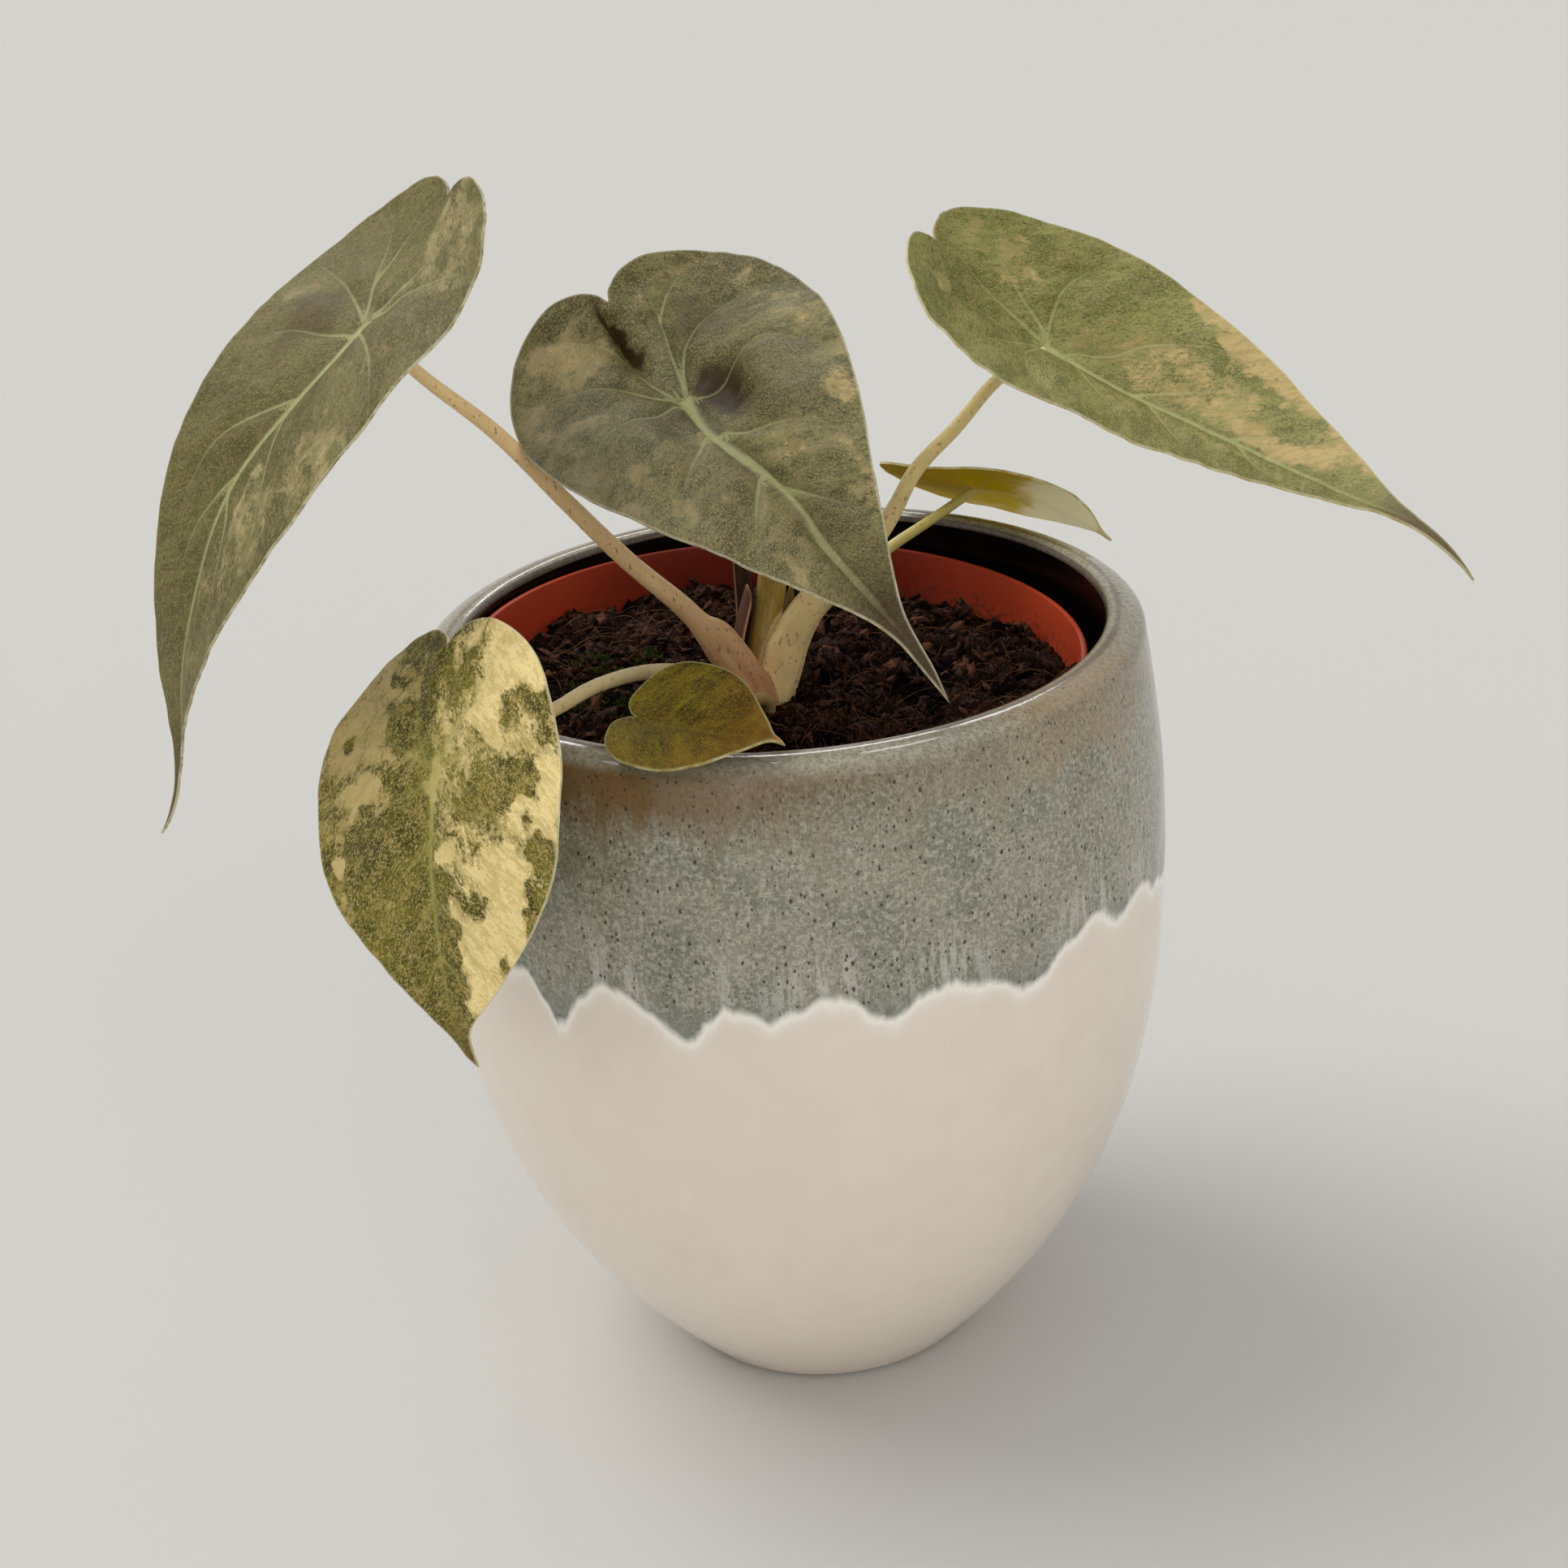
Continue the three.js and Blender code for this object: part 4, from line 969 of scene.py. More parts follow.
def cream_patches(finish, at, look, colour):
    """The colour with ragged cream patches over it, which have tan and green flecks of their own."""
    first_reach = at.pale + (at.blotch - 0.5) * 1.5 + (at.grain - 0.5) * 1.2
    second_reach = at.pale + (at.second - 0.5) * 1.7 + (at.mottle - 0.5) * 0.7
    lowest, highest = 0.5 - look["soft"], 0.52 + look["soft"]
    paleness = first_reach.step(lowest, highest) * 0.56 + second_reach.step(lowest, highest) * 0.34
    far_half = (at.y * -0.25 + (at.drift - 0.5) * 2).step(-0.6, 0.8)
    cream = finish.mix(far_half, tone(*look["pale"]), tone(*look["pale_far"]))
    cream = finish.mix(at.mottle.step(0.44, 0.58) * 0.45, cream, tone(*look["warm"]))
    cream = finish.mix(at.fine.step(0.52, 0.64) * 0.3, cream, tone(*look["light"]))
    return finish.mix(paleness, colour, cream)


def upper_shading(finish, at, look, colour, line):
    """The colour with dark areas, partly the leaf's bronze and partly painted shade in its pockets, a tan
    blush towards the tip and grains of dust.
    """
    dark = finish.attribute("bronze_and_shade_share")
    # Painted shade with the leaf's own bronze: dark areas laid over the pockets of the blade.
    shade = (dark + (at.mottle - 0.5) * 0.4 + (at.blotch - 0.5) * 0.25).step(0.06, 0.8)
    colour = finish.mix(shade * (1 - line * 0.7) * 0.9, colour, tone(*look["bronze_and_shade_tone"]))
    blush = (at.tip_share + (at.drift - 0.5) * 0.8).step(0.0, 0.8) * look["blush"]
    colour = finish.mix(blush, colour, tone(*look["warm"]))
    dust = 1 - finish.cells(finish.vector(at.x, at.y, look["seed"]), 0.16).step(0.016, 0.03)
    return finish.mix(dust * 0.5, colour, tone(214, 210, 190))


def leaf_finish(name, look, underside=False):
    finish = Finish(name + ("_underside" if underside else "_upper"))
    at = leaf_fields(finish, look)
    colour = green_ground(finish, at, look)
    if underside:
        # Underside's tone; for the back leaf it is bright enough to be painted light shining through the
        # blade.
        colour = finish.mix(0.6, colour, tone(*look["under"]))
        pale_area = (at.pale + (at.blotch - 0.5) * 0.6).step(0.2, 0.8)
        colour = finish.mix(pale_area, colour, tone(*look["under_pale"]))
        vein_tone = finish.mix(0.6, tone(*look["vein"]), tone(*look["under_pale"]))
    else:
        colour = cream_patches(finish, at, look, colour)
        vein_tone = tone(*look["vein"])
    line = (1 - abs(at.vein_side).step(0.4, 1.5)) * at.vein.step(0.12, 0.95)
    # Darker bands beside the veins: partly the leaf's own colour, partly painted shade of the valleys that
    # the veins lie in.
    flank = (1 - abs(at.vein_side).step(1.6, 6.0)) * at.vein
    colour = finish.mix(flank * at.second * look["flank"], colour, tone(*look["vein_flank_and_shade"]))
    vein_share = line * (at.mottle * 0.9 + 0.3) * look["veins"] + at.vein * at.vein * look["halo"]
    colour = finish.mix(vein_share, colour, vein_tone)
    if not underside:
        colour = upper_shading(finish, at, look, colour, line)
    tip_from = look["tip_from"]
    tip = (at.tip_share + (at.mottle - 0.5) * 0.25).step(tip_from - 0.08, tip_from + 0.14)
    colour = finish.mix(tip * 0.85, colour, tone(*look["tip"]))
    from_margin = finish.attribute("from_margin")
    edge_line = 1 - (from_margin + (at.mottle - 0.5) * 0.3).step(0.06, 0.34)
    colour = finish.mix(edge_line * 0.4, colour, tone(*look["margin"]))
    height = at.grain * 0.6 + at.mottle * 0.9 + line * (0.9 if underside else 0.5)
    rough = 0.38 + at.mottle * 0.28 + (0.12 if underside else 0.0)
    return finish.shade(
        base_color=colour, roughness=rough, normal=finish.bump(height, 0.25, look["bump"]),
        specular=look["gloss"], subsurface_weight=look["glow"], subsurface_scale=0.0009,
        subsurface_radius=(1, 0.9, 0.4))


def margin_finish(name, look):
    finish = Finish(name + "_margin")
    wander = finish.noise(finish.place(), 0.5, 4, 0.6)
    colour = finish.mix(wander.step(0.35, 0.65), tone(*look["margin"]), tone(*look["pale_far"]))
    return finish.shade(base_color=colour, roughness=0.4 + wander * 0.1, specular=0.3)


def unit(vectors):
    return vectors / np.linalg.norm(vectors, axis=-1, keepdims=True)


def turn_about(vectors, axes, angles):
    """Turns vectors about unit axes by angles in radians."""
    cosine = np.cos(angles)[..., None]
    sine = np.sin(angles)[..., None]
    along = (vectors * axes).sum(-1, keepdims=True)
    return vectors * cosine + np.cross(axes, vectors) * sine + axes * along * (1 - cosine)


def spline(points, samples):
    """Uniform Catmull-Rom curve through the points, as the solids' outlines use."""
    points = np.asarray(points, float)
    before = 2 * points[0] - points[1]
    after = 2 * points[-1] - points[-2]
    padded = np.vstack([before, points, after])
    place = np.linspace(0, len(points) - 1, samples)
    index = np.minimum(place.astype(int), len(points) - 2)
    t = (place - index)[:, None]
    p0, p1, p2, p3 = (padded[index + k] for k in range(4))
    square, cube = 2 * p0 - 5 * p1 + 4 * p2 - p3, 3 * p1 - p0 - 3 * p2 + p3
    return 0.5 * (2 * p1 + (p2 - p0) * t + square * t ** 2 + cube * t ** 3)


def half_outline(blade):
    """The blade's edge from the tip to the notch, flat, in millimetres."""
    notch = blade["notch"]
    shares = spline([*HALF_OUTLINE, (-(notch + 1) / 2, 0.05), (-notch, 0)], 520)
    u, v = shares[:, 0], shares[:, 1]
    v = v * (1 - 0.3 * np.exp(-((u - 0.87) / 0.07) ** 2))
    x = np.where(u > 0, blade["front"] * np.abs(u) ** blade["taper"], blade["back"] * u)
    return np.column_stack([x, blade["half_width"] * v])


def resample(points, count):
    lengths = np.concatenate([[0], np.cumsum(np.linalg.norm(np.diff(points, axis=0), axis=1))])
    places = np.linspace(0, lengths[-1], count)
    return np.column_stack([np.interp(places, lengths, points[:, k]) for k in range(points.shape[1])])


def blade_axes(blade):
    azimuth, rise = math.radians(blade["azimuth"]), math.radians(blade["rise"])
    level = np.array([-math.sin(azimuth), math.cos(azimuth), 0])
    reach = math.cos(rise)
    forward = np.array([reach * math.cos(azimuth), reach * math.sin(azimuth), math.sin(rise)])
    left = turn_about(level, forward, np.float64(math.radians(blade["roll"])))
    return forward, left, np.cross(forward, left)


def bend_blade(blade, flat):
    """Takes flat points (x towards the tip, y to the left) to their place, in millimetres."""
    x, y = flat[:, 0], flat[:, 1]

    def heading(distance):
        u = np.where(distance > 0, distance / blade["front"], distance / blade["back"])
        tip = np.maximum(0, (u - TIP_BEND_FROM) / (1 - TIP_BEND_FROM)) ** 2
        ahead = np.radians(blade["droop"]) * u + np.radians(blade["tip_bend"]) * tip
        pitch = np.where(u > 0, ahead, np.radians(blade["heel"]) * u)
        yaw = np.where(u > 0, np.radians(blade["side"]) * u + np.radians(blade["hook"]) * tip, 0)
        along = np.column_stack([np.cos(pitch) * np.cos(yaw), np.cos(pitch) * np.sin(yaw), -np.sin(pitch)])
        return u, yaw, along

    midrib = np.zeros((len(x), 3))
    for i in range(MIDRIB_STEPS):
        midrib += heading(x * (i + 0.5) / MIDRIB_STEPS)[2] * (x / MIDRIB_STEPS)[:, None]
    u, yaw, along = heading(x)
    level = np.column_stack([-np.sin(yaw), np.cos(yaw), np.zeros(len(x))])
    across = turn_about(level, along, np.radians(blade["twist"]) * u)
    above = np.cross(along, across)
    fold, curl = math.radians(blade["fold"]), math.radians(blade["curl"])
    turn = fold + curl * np.abs(y) / blade["half_width"]
    sideways = blade["half_width"] / curl * (np.sin(turn) - math.sin(fold))
    lift = -blade["half_width"] / curl * (np.cos(turn) - math.cos(fold))
    local = midrib + across * (np.sign(y) * sideways)[:, None] + above * lift[:, None]
    return np.array(blade["at"]) + local @ np.array(blade_axes(blade))


def distances_to_line(points, line):
    """Nearest distance from each point to a polyline, the share of its length there, and the side."""
    best = np.full(len(points), 1e9)
    share = np.zeros(len(points))
    side = np.ones(len(points))
    lengths = np.concatenate([[0], np.cumsum(np.linalg.norm(np.diff(line, axis=0), axis=1))])
    for i in range(len(line) - 1):
        step = line[i + 1] - line[i]
        size = max(step @ step, 1e-12)
        t = np.clip(((points - line[i]) @ step) / size, 0, 1)
        offset = points - (line[i] + t[:, None] * step)
        gap = np.linalg.norm(offset, axis=1)
        nearer = gap < best
        best[nearer] = gap[nearer]
        share[nearer] = ((lengths[i] + t * math.sqrt(size)) / lengths[-1])[nearer]
        side[nearer] = np.where(step[0] * offset[:, 1] - step[1] * offset[:, 0] < 0, -1, 1)[nearer]
    return best, share, side


def vein_fields(name, blade, flat):
    """Closeness to a vein, the signed offset from the nearest one in its own half widths, and the valley
    that the veins lie in. The offset crosses zero on a vein, so its line stays sharp between points."""
    large = blade["half_width"] / 24
    vein = np.zeros(len(flat))
    offset = np.full(len(flat), 9.0)
    valley = np.zeros(len(flat))
    for number, shares in enumerate(VEINS.get(name, SMALL_LEAF_VEINS)):
        shares = np.asarray(shares, float)
        line = np.column_stack([
            np.where(shares[:, 0] > 0, blade["front"], blade["back"]) * shares[:, 0],
            blade["half_width"] * shares[:, 1]])
        line = resample(spline(line, 60), 26)
        gap, share, side = distances_to_line(flat, line)
        main = number == 0
        width = ((0.5 if main else 0.27) * (1 - 0.72 * share) + 0.07) * (0.4 + 0.6 * large)
        strength = (1.0 if main else 0.72) * (1 - 0.6 * share)
        nearest = gap / width < np.abs(offset)
        offset = np.where(nearest, side * gap / width, offset)
        vein = np.maximum(vein, strength * np.exp(-(gap / (1.5 * large)) ** 2))
        reach = (3.6 if main else 2.9) * large
        valley = np.maximum(valley, strength * np.exp(-(np.hypot(gap, 0.3) - 0.3) / reach))
    return vein, np.clip(offset, -9, 9), valley


def wandering(flat, seed):
    """The flat points, each pushed a little aside, so that patches end in ragged edges."""
    pushed = flat.copy()
    for size, push in ((8.0, 2.4), (2.8, 1.5), (1.2, 0.7)):
        for i, (x, y) in enumerate(flat):
            way = noise.noise_vector(Vector((x / size, y / size, seed + size)))
            pushed[i] += (push * way.x, push * way.y)
    return pushed


def painted(base, patches, u, v):
    """A field laid down patch by patch: centre, reach and value of each, and the slant of some."""
    field = np.full(len(u), float(base))
    for along, aside, reach_along, reach_aside, value, *slant in patches:
        lean = slant[0] if slant else 0.0
        away = np.hypot((u - along - lean * (v - aside)) / reach_along, (v - aside) / reach_aside)
        cover = 1 / (1 + np.exp((away - 1) / 0.15))
        field = field * (1 - cover) + value * cover
    return field


def flat_blade(blade, rows, columns):
    """The flat blade: a grid for each half, drawn out from midrib and notch to the margin, and joined."""
    outline = half_outline(blade)
    lobe_end = int(outline[:, 0].argmin())
    outer = resample(outline[:lobe_end + 1], rows + 1)
    notch = outline[-1]
    midrib = np.column_stack([np.linspace(blade["front"], notch[0], 60), np.zeros(60)])
    inner = resample(np.vstack([midrib, outline[lobe_end:-1][::-1]]), rows + 1)
    halves = []
    for side in (1, -1):
        deselect_all()
        bpy.ops.mesh.primitive_grid_add(x_subdivisions=rows, y_subdivisions=columns, size=2)
        half = bpy.context.object
        grid = points_of(half)
        row = np.rint((grid[:, 0] + 1) / 2 * rows).astype(int)
        share = ((grid[:, 1] + 1) / 2)[:, None]
        flat = inner[row] * (1 - share) + outer[row] * share
        move_points(half, np.column_stack([flat[:, 0], flat[:, 1] * side, np.zeros(len(flat))]) * MM)
        if side < 0:
            on_all_faces(bpy.ops.mesh.flip_normals)
        halves.append(half)
    sheet = join(halves)
    on_all_faces(bpy.ops.mesh.remove_doubles, threshold=2e-6)
    return sheet, outline


LEAF_SLOTS = {
    "leaf_left": "leaf_bronze", "leaf_centre": "leaf_bronze", "leaf_right": "leaf_green",
    "leaf_cream": "leaf_cream", "leaf_front": "leaf_olive", "leaf_back": "leaf_olive",
}
# Depth of the vein valleys and height of the ripples, in millimetres
RELIEF = {
    "leaf_left": (1.3, 0.7), "leaf_centre": (2.6, 1.2), "leaf_right": (1.5, 0.9), "leaf_cream": (1.3, 0.8),
    "leaf_front": (0.4, 0.3), "leaf_back": (0.4, 0.3),
}


def shares_of(blade, flat):
    """Flat points as shares of the blade's front or back length and half width."""
    x, y = flat.T
    return np.where(x > 0, x / blade["front"], x / blade["back"]), y / blade["half_width"]


def blade_relief(name, blade, flat, from_margin, valley):
    """Height of the surface over the smooth blade in millimetres: vein valleys, swellings and ripples."""
    depth, wave = RELIEF[name]
    u, v = shares_of(blade, flat)
    inland = np.clip(from_margin / 3.0, 0, 1)
    relief = -depth * valley * inland
    for along, aside, reach_along, reach_aside, height in SWELLINGS[name]:
        away = ((u - along) / reach_along) ** 2 + ((v - aside) / reach_aside) ** 2
        relief += height * np.exp(-away) * inland
    ripple = np.array([noise.noise(Vector((a / 11.0, b / 11.0, len(name) * 1.7))) for a, b in flat])
    pucker = np.array([noise.noise(Vector((a / 3.6, b / 3.6, len(name) * 2.9))) for a, b in flat])
    relief += wave * ripple * np.clip(np.abs(v) * 1.2, 0.15, 1) + 0.3 * wave * pucker * (1 - valley)
    return relief - relief * np.clip((u - 0.8) / 0.2, 0, 1)


def build_blade(name, settings):
    blade = BLADES[name]
    small = blade["half_width"] < 15
    rows = settings.rows // 2 if small else settings.rows
    columns = settings.columns // 2 if small else settings.columns
    sheet, outline = flat_blade(blade, rows, columns)
    flat = points_of(sheet)[:, :2] / MM
    mirrored = np.column_stack([flat[:, 0], np.abs(flat[:, 1])])
    from_margin = distances_to_line(mirrored, resample(outline, 220))[0]
    vein, vein_side, valley = vein_fields(name, blade, flat)
    ragged = shares_of(blade, wandering(flat, blade["azimuth"]))
    base, patches = PATCHES[name]
    write_attribute(sheet, "flat_place", np.column_stack([flat, np.zeros(len(flat))]), "FLOAT_VECTOR")
    fields = {
        "vein": vein, "vein_side": vein_side, "pale_share": painted(base, patches, *ragged),
        "bronze_and_shade_share": painted(0, BRONZE_AND_SHADE_PATCHES.get(name, ()), *ragged), "from_margin": np.minimum(from_margin, 8),
        "tip_share": shares_of(blade, flat)[0],
    }
    for field, values in fields.items():
        write_attribute(sheet, field, values)
    move_points(sheet, bend_blade(blade, flat) * MM)
    up = normals_of(sheet)
    if (up.mean(0) @ blade_axes(blade)[2]) < 0:
        sheet.data.flip_normals()
        sheet.data.update()
        up = normals_of(sheet)
    relief = blade_relief(name, blade, flat, from_margin, valley)
    move_points(sheet, points_of(sheet) + up * relief[:, None] * MM)
    thicken = sheet.modifiers.new("thickness", "SOLIDIFY")
    thicken.thickness = settings.thickness
    thicken.offset = 0
    thicken.material_offset = 1
    thicken.material_offset_rim = 2
    look = LEAF_LOOKS[name]
    for material in (leaf_finish(name, look), leaf_finish(name, look, True), margin_finish(name, look)):
        sheet.data.materials.append(material)
    apply_modifiers(sheet)
    return finish_piece(sheet, name + "_blade", LEAF_SLOTS[name], name, angle=50)


def stalk_line(name):
    """The stalk's middle line and radii, finely sampled, from the crown to just under the blade."""
    path, radii = STALKS[name]
    blade = BLADES[name]
    joint = np.array(blade["at"], float)
    up = blade_axes(blade)[2]
    lean = unit(joint - np.array(path[-1], float))
    slant = np.linalg.norm(np.cross(lean, up))
    end = joint - up * (0.15 + 0.4 * slant * radii[-1] + RELIEF[name][0])
    points = np.array(list(path) + [end], float)
    knots = np.concatenate([[0], np.cumsum(np.linalg.norm(np.diff(points, axis=0), axis=1) ** 0.5)])
    line = resample(catmull(points, knots, 160), 90)
    share = np.linspace(0, 1, len(line))
    return line, np.interp(share, np.linspace(0, 1, len(radii)), radii)


def catmull(points, knots, samples):
    """Centripetal Catmull-Rom curve, written as Hermite pieces."""
    before = 2 * points[0] - points[1]
    after = 2 * points[-1] - points[-2]
    padded = np.vstack([before, points, after])
    gaps = np.concatenate([[knots[1]], np.diff(knots), [knots[-1] - knots[-2]]])
    result = []
    per_piece = max(2, samples // (len(points) - 1))
    for i in range(len(points) - 1):
        p0, p1, p2, p3 = padded[i:i + 4]
        a, b, c = gaps[i:i + 3]
        first = (p1 - p0) / a - (p2 - p0) / (a + b) + (p2 - p1) / b
        second = (p2 - p1) / b - (p3 - p1) / (b + c) + (p3 - p2) / c
        first, second = first * b, second * b
        t = np.linspace(0, 1, per_piece, endpoint=False)[:, None]
        cubic = (2 * p1 - 2 * p2 + first + second) * t ** 3
        result.append(cubic + (-3 * p1 + 3 * p2 - 2 * first - second) * t ** 2 + first * t + p1)
    return np.vstack(result + [points[-1:]])


def tube(line, radii, detail=3):
    """A capped round tube along a line, from a curve with a round bevel."""
    deselect_all()
    bpy.ops.curve.primitive_nurbs_path_add()
    rope = bpy.context.object
    curve = rope.data
    curve.splines.clear()
    curve.dimensions = "3D"
    thread = curve.splines.new("POLY")
    thread.points.add(len(line) - 1)
    for point, place, radius in zip(thread.points, line, radii):
        point.co = (*(np.array(place) * MM), 1)
        point.radius = radius
    curve.bevel_depth = MM
    curve.bevel_resolution = detail
    curve.use_fill_caps = True
    bpy.ops.object.convert(target="MESH")
    return bpy.context.object


# Stalk colours at the foot, a third of the way up and under the blade
STALK_TONES = {
    "leaf_left": ((198, 140, 98), (248, 214, 158), (246, 214, 158)),
    "leaf_centre": ((176, 148, 78), (164, 140, 64), (156, 140, 76)),
    "leaf_right": ((250, 222, 158), (236, 214, 150), (230, 212, 146)),
    "leaf_cream": ((200, 178, 130), (204, 184, 136), (208, 188, 136)),
    "leaf_front": ((180, 154, 100), (170, 146, 92), (160, 140, 76)),
    "leaf_back": ((206, 192, 130), (212, 202, 134), (204, 194, 104)),
}


def stalk_attributes(piece, lines):
    """Gives each point its place along and about its nearest stalk, and that stalk's tone."""
    points = points_of(piece) / MM
    best = np.full(len(points), 1e9)
    place = np.zeros((len(points), 3))
    tones = np.ones((len(points), 4))
    for number, (name, (line, radii)) in enumerate(lines.items()):
        for start in range(0, len(points), 20000):
            block = slice(start, start + 20000)
            gaps = np.linalg.norm(points[block, None] - line[None], axis=2)
            nearest = gaps.argmin(1)
            measure = gaps[np.arange(len(nearest)), nearest] - radii[nearest]
            closer = measure < best[block]
            best[block] = np.where(closer, measure, best[block])
            offset = points[block] - line[nearest]
            upward = nearest * 0.9 + offset[:, 2] * 0.3
            local = np.column_stack([offset[:, 0] + number * 31, offset[:, 1], upward])
            place[block] = np.where(closer[:, None], local, place[block])
            share = nearest / (len(line) - 1)
            shades = np.array([tone(*c) for c in STALK_TONES[name]])
            mixed = np.column_stack([np.interp(share, (0.1, 0.35, 1), shades[:, k]) for k in range(4)])
            tones[block] = np.where(closer[:, None], mixed, tones[block])
    write_attribute(piece, "stalk_place", place, "FLOAT_VECTOR")
    write_attribute(piece, "stalk_tone", tones, "FLOAT_COLOR")


def wrap_sheath(axis_line, radius, start_turn, end_turn, thickness, top_round):
    """A sheath that wraps part of the way round a stalk, with a rounded top."""
    deselect_all()
    around, upward = 18, 32
    bpy.ops.mesh.primitive_grid_add(x_subdivisions=around, y_subdivisions=upward, size=2)
    sheet = bpy.context.object
    grid = points_of(sheet)
    side = grid[:, 0]
    rise = (grid[:, 1] + 1) / 2
    line = resample(np.asarray(axis_line, float), 80)
    reach = 1 - top_round * (1 - np.sqrt(np.clip(1 - side ** 2, 0, 1)))
    height = rise * reach
    index = height * (len(line) - 1)
    centre = np.column_stack([np.interp(index, np.arange(len(line)), line[:, k]) for k in range(3)])
    turn = np.radians(start_turn + (end_turn - start_turn) * (side + 1) / 2)
    swell = radius * (1 + 0.12 * np.sin(rise * 3)) * (1 - 0.25 * rise ** 4) + 0.12 * np.abs(side) ** 3
    points = centre + np.column_stack([np.cos(turn) * swell, np.sin(turn) * swell, np.zeros(len(turn))])
    move_points(sheet, points * MM)
    write_attribute(sheet, "stalk_place", np.column_stack([turn * radius, side, rise * 20]), "FLOAT_VECTOR")
    write_attribute(sheet, "pale_edge", np.maximum(np.abs(side), (rise - 0.75) * 3.6) ** 4)
    shell = sheet.modifiers.new("wall", "SOLIDIFY")
    shell.thickness = thickness * MM
    shell.offset = -1
    soften = sheet.modifiers.new("soften", "SUBSURF")
    soften.levels = soften.render_levels = 1
    apply_modifiers(sheet)
    return sheet


def soil_height(x, y):
    """Height of the soil's top in the grow pot's frame, as the solid has it."""
    r = np.hypot(x, y) / (GROW_RIM_RADIUS - GROW_BAND_STEP)
    lumps = np.sin(x * 0.31 + 1.3) * np.cos(y * 0.27 - 0.4) + 0.6 * np.sin(x * 0.12 - y * 0.41)
    return -SOIL_EDGE_DEPTH - 0.6 * (1 - r * r) + 0.6 * lumps * np.minimum(1, 3 * (1 - r))


def grow_matrix():
    tilt = Euler((math.radians(GROW_TILT[0]), math.radians(GROW_TILT[1]), 0), "XYZ").to_matrix().to_4x4()
    return Matrix.Translation(Vector(GROW_RIM_CENTRE) * MM) @ tilt


def grow_radius(depth):
    under_band = GROW_RIM_RADIUS - GROW_BAND_STEP
    share = (depth - GROW_BAND) / (GROW_HEIGHT - GROW_BAND)
    return under_band + (GROW_BASE_RADIUS - under_band) * share


def crumbly(x, y, height):
    """Rough relief of the soil at a place, in millimetres."""
    pushed = noise.noise_vector(Vector((x * 0.22, y * 0.22, 5.1)))
    a, b = x + 2.2 * pushed.x, y + 2.2 * pushed.y
    clods = noise.fractal(Vector((a * 0.12, b * 0.12, 3.3)), 0.8, 2.1, 6)
    ridges = noise.ridged_multi_fractal(Vector((a * 0.2, b * 0.33, 1.7)), 0.7, 2.2, 5, 0.9, 2.0)
    grains = noise.voronoi(Vector((a * 0.55, b * 0.55, 0.4)))[0][0]
    return height * (clods * 0.9 + 0.42 * (ridges - 1.1) + 0.5 * (0.45 - grains))


class Scatter:
    """Collects turned and scaled copies of small prototype meshes into one mesh."""

    def __init__(self):
        self.points = []
        self.faces = []
        self.count = 0

    def add(self, prototype, matrix):
        points, faces = prototype
        turned = points @ np.array(matrix.to_3x3()).T + np.array(matrix.translation)
        self.points.append(turned)
        self.faces.extend(tuple(index + self.count for index in face) for face in faces)
        self.count += len(points)

    def piece(self, name):
        mesh = bpy.data.meshes.new(name)
        mesh.from_pydata(np.vstack(self.points).tolist(), [], self.faces)
        mesh.update()
        piece = bpy.data.objects.new(name, mesh)
        bpy.context.scene.collection.objects.link(piece)
        return piece


def take_shape(piece):
    """The points and faces of a modelled prototype, which is then removed."""
    shape = points_of(piece), [tuple(face.vertices) for face in piece.data.polygons]
    bpy.data.objects.remove(piece)
    return shape


def crumb_shapes(draw):
    shapes = []
    for number in range(7):
        deselect_all()
        bpy.ops.mesh.primitive_ico_sphere_add(subdivisions=2, radius=1)
        lump = bpy.context.object
        points = points_of(lump)
        swell = [1 + 1.1 * noise.noise(Vector(p) * 1.9 + Vector((number * 9, 0, 0))) for p in points]
        points = points * np.array(swell)[:, None] * (1.3, draw.uniform(0.35, 0.8), draw.uniform(0.25, 0.6))
        move_points(lump, points)
        shapes.append(take_shape(lump))
    return shapes


def fibre_shapes(draw):
    shapes = []
    for _ in range(8):
        length = 10.0
        bend = draw.uniform(0.1, 0.5)
        sway = draw.uniform(-1.4, 1.4)
        line = []
        for i in range(8):
            t = i / 7
            aside = sway * math.sin(t * 3.4) + bend * t * t * 4
            line.append((t * length, aside, bend * length * math.sin(t * 2.4) * 0.5))
        thread = tube(line, [0.07 * (1 - 0.7 * i / 7) for i in range(8)], 0)
        points, faces = take_shape(thread)
        shapes.append((points / MM, faces))
    return shapes


def moss_shapes(draw):
    """Small tufts: pointed leaves that lean out from one foot."""
    shapes = []
    for _ in range(4):
        points, faces = [], []
        for leaf in range(9):
            turn = leaf * 2.4 + draw.uniform(-0.3, 0.3)
            lean = draw.uniform(0.2, 0.9)
            length = draw.uniform(0.7, 1.3)
            outward = np.array([math.cos(turn), math.sin(turn), 0]) * lean
            side = np.array([-math.sin(turn), math.cos(turn), 0]) * 0.13
            foot = len(points)
            rise = np.array([0, 0, length])
            middle = (outward * 0.4 + rise * 0.6) * length
            tip = (outward + rise * 0.85) * length
            points += [-side * 0.6, side * 0.6, middle + side, middle - side, tip]
            faces += [(foot, foot + 1, foot + 2, foot + 3), (foot + 3, foot + 2, foot + 4)]
            faces += [(foot + 3, foot + 2, foot + 1, foot), (foot + 4, foot + 2, foot + 3)]
        shapes.append((np.array(points), faces))
    return shapes


def scatter_matrix(place, turn, lean, size):
    return (Matrix.Translation(Vector(place) * MM) @ Euler((lean[0], lean[1], turn)).to_matrix().to_4x4()
            @ Matrix.Scale(size * MM, 4))


